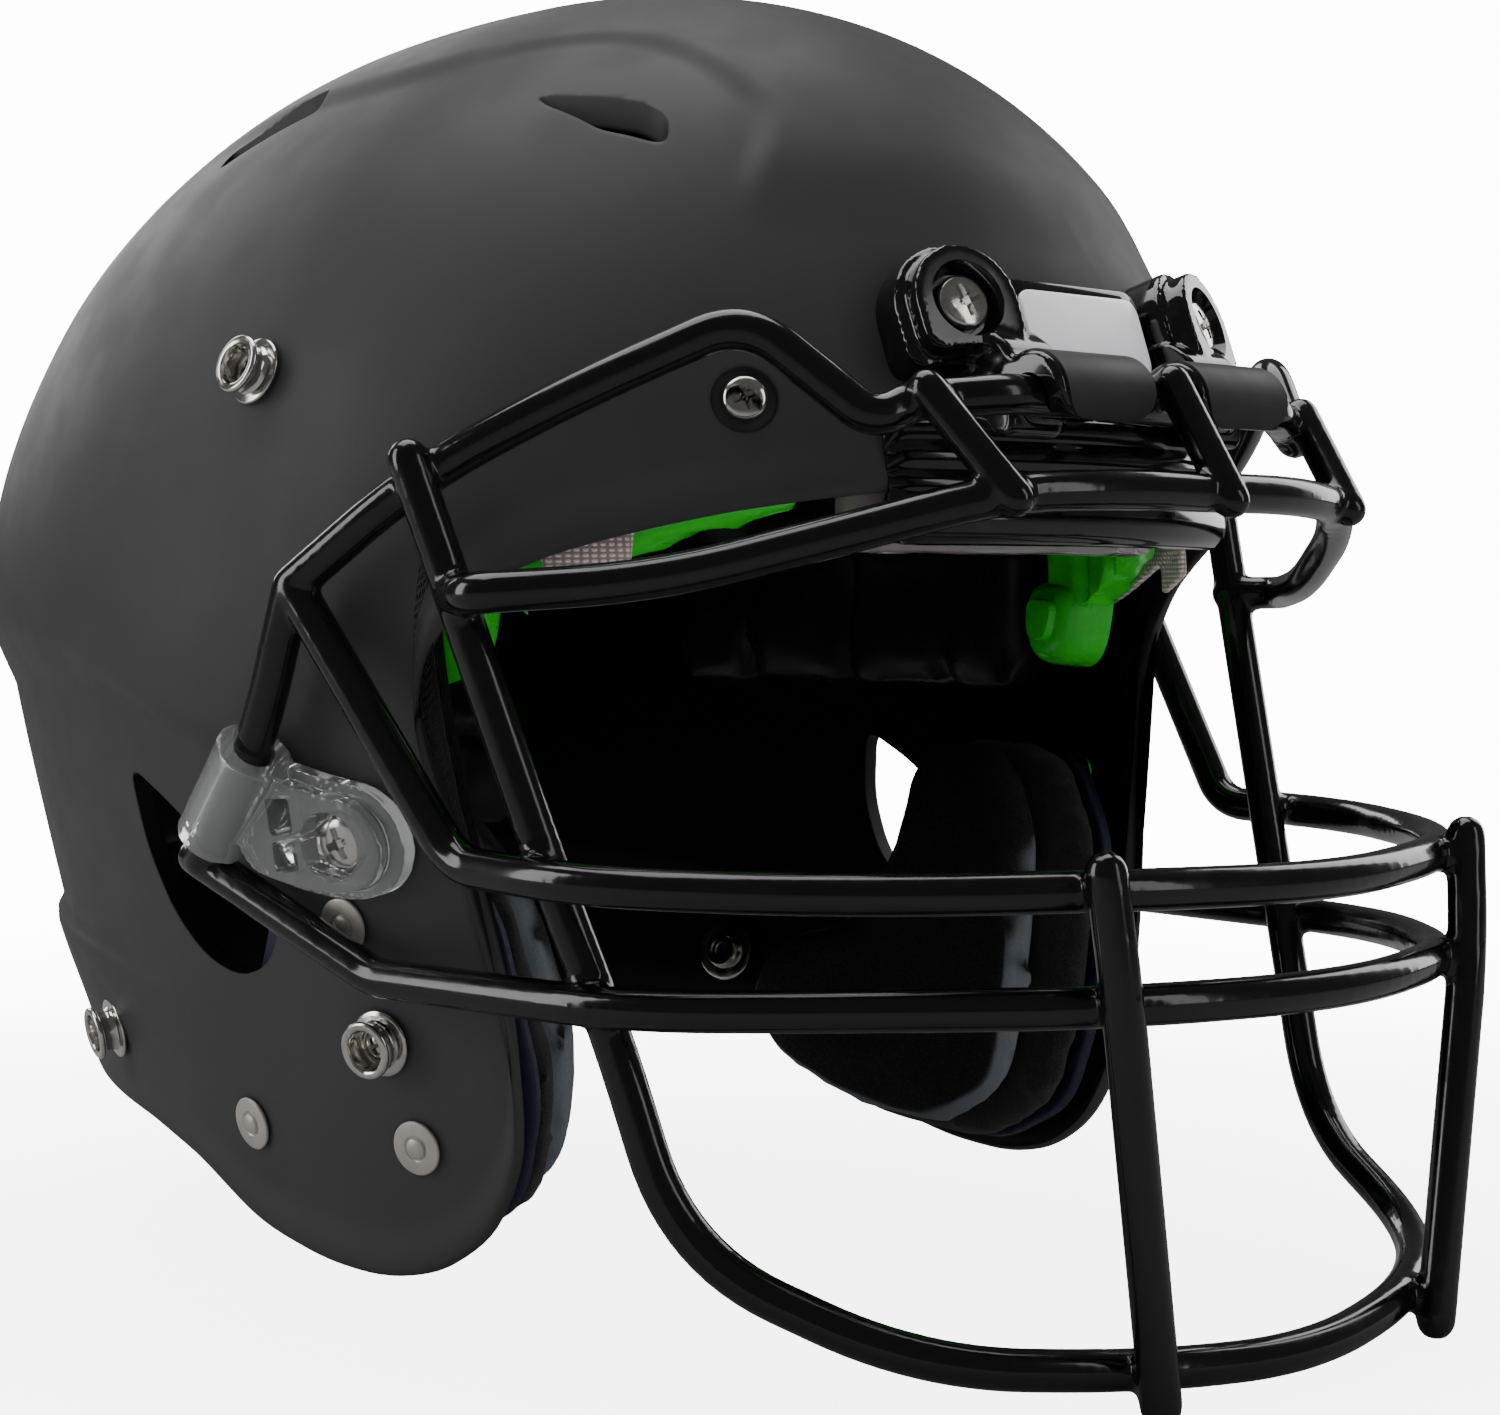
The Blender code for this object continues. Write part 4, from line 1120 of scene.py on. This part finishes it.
def both_sides(name, mesh, body, look, node, angle=40.0):
    """The left piece and its mirror; name, node and a moving pad's body end in the side."""
    for side, sign in SIDES.items():
        shape = mesh if sign > 0 else moved(mesh, FLIP_X)
        own = body if body in ("shell", "guard") else f"{body}_{side}"
        piece(f"{name}_{side}", shape, own, look, [f"{node}_{side}"] if node else (), angle)


both_sides("top_clip_tower", top_clip_mesh(), "shell", "gloss_black", "top_clip", 50.0)
both_sides("top_clip_face", tongue_face_mesh(), "shell", "matte_black", None)
both_sides("side_clip_body", side_clip_mesh(), "guard", "clear", "side_clip")


# ---- the brow trim and its plate --------------------------------------------------------------
def on_front(x, z, offset):
    """Points on the front at widths and heights, at offsets from the skin."""
    x, z, offset = np.broadcast_arrays(np.asarray(x, float), np.asarray(z, float), np.asarray(offset, float))
    base = skin(front_turn(x, z), z)
    return base + normals(base) * offset[..., None]


def bumper_mesh(half=46.0, stations=70):
    """The trim that caps the brow's edge: fine ribs above and a smooth lip that turns under."""
    z = np.arange(2.6, -11.0, -0.4)
    rib = (0.5 + 0.5 * np.cos(2 * math.pi * (z - 1.0) / 5.0)) ** 0.5
    profile = [(0.9, 3.0), (2.2, 3.0)] + list(zip(2.4 + 0.95 * rib, z))
    profile += [(3.3, -12.0), (3.9, -13.6), (3.9, -15.2), (3.3, -17.2), (1.6, -18.9), (-1.0, -19.2),
                (-4.5, -18.9), (-6.8, -17.4), (-7.4, -15.0), (-6.8, -12.6), (-4.0, -11.6), (0.6, -11.4)]
    offsets = np.array([p[0] for p in profile])
    heights = np.array([p[1] for p in profile])
    rings = []
    for x in np.linspace(-half, half, stations):
        end = np.clip((abs(x) - (half - 4.0)) / 4.0, 0.0, 0.97)
        share = math.sqrt(1.0 - end * end)
        points = on_front(x, -8.0 + (heights + 8.0) * (0.55 + 0.45 * share), 0.9 + (offsets - 0.9) * share)
        rings.append([Vector(p) for p in points])
    return loft(rings)


def on_side(y, z, offset):
    """Points on the left side at stations and heights, at an offset from the skin."""
    base = np.array([side_point(a, b) for a, b in zip(y, z)])
    return base + normals(base) * offset


def tile(surface, outline, low, high, edge, dome=0.0, rings=14):
    """A slab on a surface between two offsets, inside an outline, its high face's edges rounded."""
    outline = np.array(outline)
    centre = outline.mean(0)
    span = float(np.abs(outline - centre).max())
    way = math.copysign(1.0, high - low)
    steps = [(0.02, low), (1.0 - edge / span, low), (1.0, low + way * edge * 0.5)]
    steps += [(1.0 - edge / span * (1 - math.cos(a)), high - way * edge * (1 - math.sin(a)))
              for a in np.linspace(0.0, math.pi / 2, 5)]
    steps += [(s, high + way * dome * (1 - s * s)) for s in np.linspace(1.0 - edge / span, 0.02, rings)[1:]]
    made = []
    for share, offset in steps:
        spots = centre + (outline - centre) * share
        made.append([Vector(p) for p in surface(spots[:, 0], spots[:, 1], offset)])
    return loft(made)


piece("bumper_trim", bumper_mesh(), "shell", "gloss_black", ["front_bumper"])
piece("plate_frame", tile(on_front, rounded(rectangle(-18.6, 18.6, 2.0, 27.0), 4.0), SEAT_GAP, 3.9, 1.2),
      "shell", "gloss_black")
piece("plate_blank", tile(on_front, rounded(rectangle(-16.0, 16.0, 10.8, 24.6), 3.0), 3.7, 4.7, 0.4, 0.2),
      "shell", "white", ["name_plate"])


# ---- the liner --------------------------------------------------------------------------------
def node_mesh(node):
    """A copy of a CAD node's mesh, in millimetres from the middle of the head."""
    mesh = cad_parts[node].data.copy()
    mesh.transform(TO_FRAME.inverted())
    return mesh


def hold_inside(points, clearance):
    """Points pushed in until they lie at least a clearance inside the skin."""
    for _ in range(3):
        short = np.maximum(clearance - depth_of(points), 0.0)
        points = points - normals(points) * short[:, None]
    return points


def inflated(mesh, cap, pressure=4.0, frames=20):
    """Blow up a closed mesh as cloth for a few frames, and cap how far each point moves."""
    worker = bpy.data.objects.new("worker", modified(mesh))
    worker.data.transform(Matrix.Scale(MM, 4))
    bpy.context.scene.collection.objects.link(worker)
    cloth = worker.modifiers.new("cloth", "CLOTH")
    cloth.settings.use_pressure = True
    cloth.settings.uniform_pressure_force = pressure
    cloth.settings.effector_weights.gravity = 0.0
    cloth.point_cache.frame_start = 1
    cloth.point_cache.frame_end = frames
    for step in range(1, frames + 1):
        bpy.context.scene.frame_set(step)
    evaluated = worker.evaluated_get(bpy.context.evaluated_depsgraph_get())
    blown = bpy.data.meshes.new_from_object(evaluated)
    start = points_of(worker.data) / MM
    shift = points_of(blown) / MM - start
    length = np.maximum(np.linalg.norm(shift, axis=1, keepdims=True), 1e-6)
    made = mesh.copy()
    set_points(made, start + shift * np.minimum(1.0, cap / length))
    bpy.data.objects.remove(worker)
    bpy.context.scene.frame_set(1)
    return made


def soft_form(mesh, shrink=2.0, voxel=4.5, cap=5.0, clearance=5.4, channels=(), depth=1.8, width=2.0):
    """A padded form made from a block of foam: shrunk, inflated, subdivided and channelled."""
    mesh = remeshed(mesh, voxel, 3)
    set_points(mesh, points_of(mesh) - facing_of(mesh) * shrink)
    mesh = inflated(mesh, cap)
    mesh = modified(mesh, ("SUBSURF", {"levels": 1, "render_levels": 1}))
    points = hold_inside(points_of(mesh), clearance)
    facing = facing_of(mesh)
    inward = np.clip(-np.sum(facing * normals(points), axis=1) * 1.5 + 0.4, 0.0, 1.0)
    groove = np.zeros(len(points))
    for direction, position in channels:
        along = points @ np.array(direction, float)
        groove = np.maximum(groove, np.exp(-((along - position) / width) ** 2))
    set_points(mesh, points - facing * (groove * depth * inward)[:, None])
    return mesh


def soft_pad(node, *settings, **named):
    """A padded form in the space of a CAD pad."""
    return soft_form(node_mesh(node), *settings, **named)


def shrunk(outline, margin):
    """The outline drawn in toward its middle by about a margin."""
    middle = np.array(outline).mean(0)
    away = np.array(outline) - middle
    length = np.linalg.norm(away, axis=1, keepdims=True)
    return middle + away * (1.0 - margin / length)


brow_channels = [((1, 0, 0), x) for x in (-28, -14, 0, 14, 28)]
piece("brow_bladder", soft_pad("brow_pad", 1.2, 3.0, 3.0, 6.0, brow_channels, 1.2),
      "shell", "grey_pad", ["brow_pad"])
piece("crown_cushion", soft_pad("crown_pad", channels=[((1, 0, 0), x) for x in (-18, 18)]
                                + [((0, 1, 0), y) for y in (-44, -16, 12)]),
      "shell", "black_pad", ["crown_pad"])
piece("nape_cushion", soft_pad("nape_pad", channels=[((1, 0, 0), x) for x in (-20, 20)]
                               + [((0, 0, 1), z) for z in (-62, -36, -12)]),
      "shell", "black_pad", ["nape_pad"])
both_sides("side_cushion", soft_pad("side_pad_left", channels=[((0, 1, 0), y) for y in (-28, 0, 28)]
                                    + [((0, 0, 1), -15)]), "shell", "black_pad", "side_pad")
both_sides("temple_cell", soft_pad("temple_cushion_left", 1.2, 3.5, 3.0, 9.0,
                                   [((0, 1, 0), y) for y in (-104, -90, -76)], 2.4, 1.6),
           "shell", "green", "temple_cushion")
tape_tab = tile(on_side, rounded([(-108, -24), (-95, -28), (-95, -4), (-108, -2)], 1.0), -5.4, -7.2, 0.5)
both_sides("woven_tape", remeshed(joined(node_mesh("brow_strip_left"), tape_tab), 0.7, 4),
           "shell", "strip", "brow_strip")
LOBE_OUTLINE = rounded([(-85, -25), (-58, -24), (-60, -46), (-80, -45)], 8.0)
both_sides("temple_lobe", tile(on_side, LOBE_OUTLINE, -10.0, -24.0, 6.0, 2.0),
           "shell", "green", None)
JAW_OUTLINE = rounded([(-86.5, -118), (-83, -82), (-66, -63), (-31, -60), (-24, -86), (-11, -105),
                       (14, -114), (21, -128), (8, -142), (-20, -151), (-55, -152), (-79, -140)], 8.0)
jaw_cover = soft_form(tile(on_side, JAW_OUTLINE, -9.6, -17.6, 3.0), 0.6, 3.0, 1.4, 9.0)
jaw_backing = tile(on_side, shrunk(JAW_OUTLINE, 2.0), -6.2, -8.8, 0.8)
jaw_foam = soft_form(tile(on_side, shrunk(JAW_OUTLINE, 1.5), -19.4, -31.0, 9.0, 2.0), 0.6, 3.0, 1.4, 18.6)
both_sides("jaw_cover", jaw_cover, "jaw_pad", "fleece", "jaw_pad")
both_sides("jaw_backing", jaw_backing, "jaw_pad", "indigo", None)
both_sides("jaw_cushion", jaw_foam, "jaw_pad", "foam", "jaw_foam")


# ---- camera, light and floor ------------------------------------------------------------------
def camera():
    """The view of the helmet's right front, a little above level."""
    data = bpy.data.cameras.new("camera")
    data.lens = 72.0
    data.sensor_width = 36.0
    data.clip_start = 0.01
    made = bpy.data.objects.new("camera", data)
    bpy.context.scene.collection.objects.link(made)
    right = Vector((0.7086, -0.7056, 0.0)).normalized()
    back = Vector((-0.7051, -0.7081, 0.0386)).normalized()
    up = back.cross(right)
    turn = Matrix((right, up, back)).transposed().to_4x4()
    made.matrix_world = Matrix.Translation((Vector((-425.530, -481.752, -27.208)) + STAND) * MM) @ turn
    bpy.context.scene.camera = made


def softbox(name, place, target, width, height, power):
    """A soft rectangular light."""
    data = bpy.data.lights.new(name, "AREA")
    data.shape = "RECTANGLE"
    data.size = width
    data.size_y = height
    data.energy = power
    made = bpy.data.objects.new(name, data)
    made.location = Vector(place) + STAND * MM
    made.rotation_euler = (Vector(target) - Vector(place)).to_track_quat("-Z", "Y").to_euler()
    bpy.context.scene.collection.objects.link(made)


def studio():
    """A pale floor that fades into a pale world, and softboxes overhead and at the sides."""
    bm = bmesh.new()
    bmesh.ops.create_circle(bm, cap_ends=True, segments=96, radius=6.0)
    mesh = bpy.data.meshes.new("floor")
    bm.to_mesh(mesh)
    bm.free()
    floor = bpy.data.objects.new("floor", mesh)
    floor.location.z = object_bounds()[0][2] - 0.0005
    paint = Shader("floor")
    rays = paint.add("ShaderNodeLightPath")
    pale = paint.mix(paint.noise(3.0), (0.87, 0.87, 0.87), (0.89, 0.89, 0.89))
    paint.colour(paint.mix(rays.outputs["Is Glossy Ray"], pale, (0.22, 0.22, 0.22)))
    paint.set(Roughness=0.9, Specular_IOR_Level=0.0)
    far = paint.add("ShaderNodeVectorMath", operation="LENGTH")
    paint.join(paint.place, far.inputs[0])
    fade = paint.span(far.outputs["Value"], 0.12, 0.7, 0.40, 1.0)
    fade = paint.maths("MULTIPLY", fade, rays.outputs["Is Camera Ray"])
    glow = paint.add("ShaderNodeEmission")
    glow.inputs["Strength"].default_value = BACKDROP
    blend = paint.add("ShaderNodeMixShader")
    paint.join(fade, blend.inputs[0])
    paint.join(paint.base.outputs[0], blend.inputs[1])
    paint.join(glow.outputs[0], blend.inputs[2])
    paint.join(blend.outputs[0], paint.tree.nodes["Material Output"].inputs["Surface"])
    mesh.materials.append(paint.material)
    bpy.context.scene.collection.objects.link(floor)
    floor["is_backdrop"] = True
    world = bpy.data.worlds.new("studio")
    bpy.context.scene.world = world
    world.use_nodes = True
    tree = world.node_tree
    rays = tree.nodes.new("ShaderNodeLightPath")
    switches = []
    for flag, strength in (("Is Glossy Ray", GLOSSY_SKY), ("Is Camera Ray", BACKDROP)):
        switch = tree.nodes.new("ShaderNodeMix")
        switch.inputs[2].default_value = DIFFUSE_SKY
        switch.inputs[3].default_value = strength
        tree.links.new(rays.outputs[flag], switch.inputs[0])
        switches.append(switch)
    tree.links.new(switches[0].outputs[0], switches[1].inputs[2])
    tree.links.new(switches[1].outputs[0], tree.nodes["Background"].inputs["Strength"])
    tree.nodes["Background"].inputs["Color"].default_value = (1.0, 1.0, 1.0, 1.0)
    softbox("overhead", (0.05, 0.25, 1.25), (0, 0, 0), 1.4, 1.0, 15.0)
    softbox("side", (-1.2, 0.75, 0.4), (0, 0, 0), 0.5, 1.2, 8.0)
    softbox("front", (0.35, -1.45, 0.45), (0, -0.1, -0.05), 0.35, 1.1, 2.4)
    softbox("left", (1.35, -0.1, 0.5), (0, -0.03, 0), 0.6, 1.2, 7.0)
    softbox("back", (0.3, 1.4, 0.6), (0, 0, 0), 1.2, 0.8, 9.0)


camera()
studio()
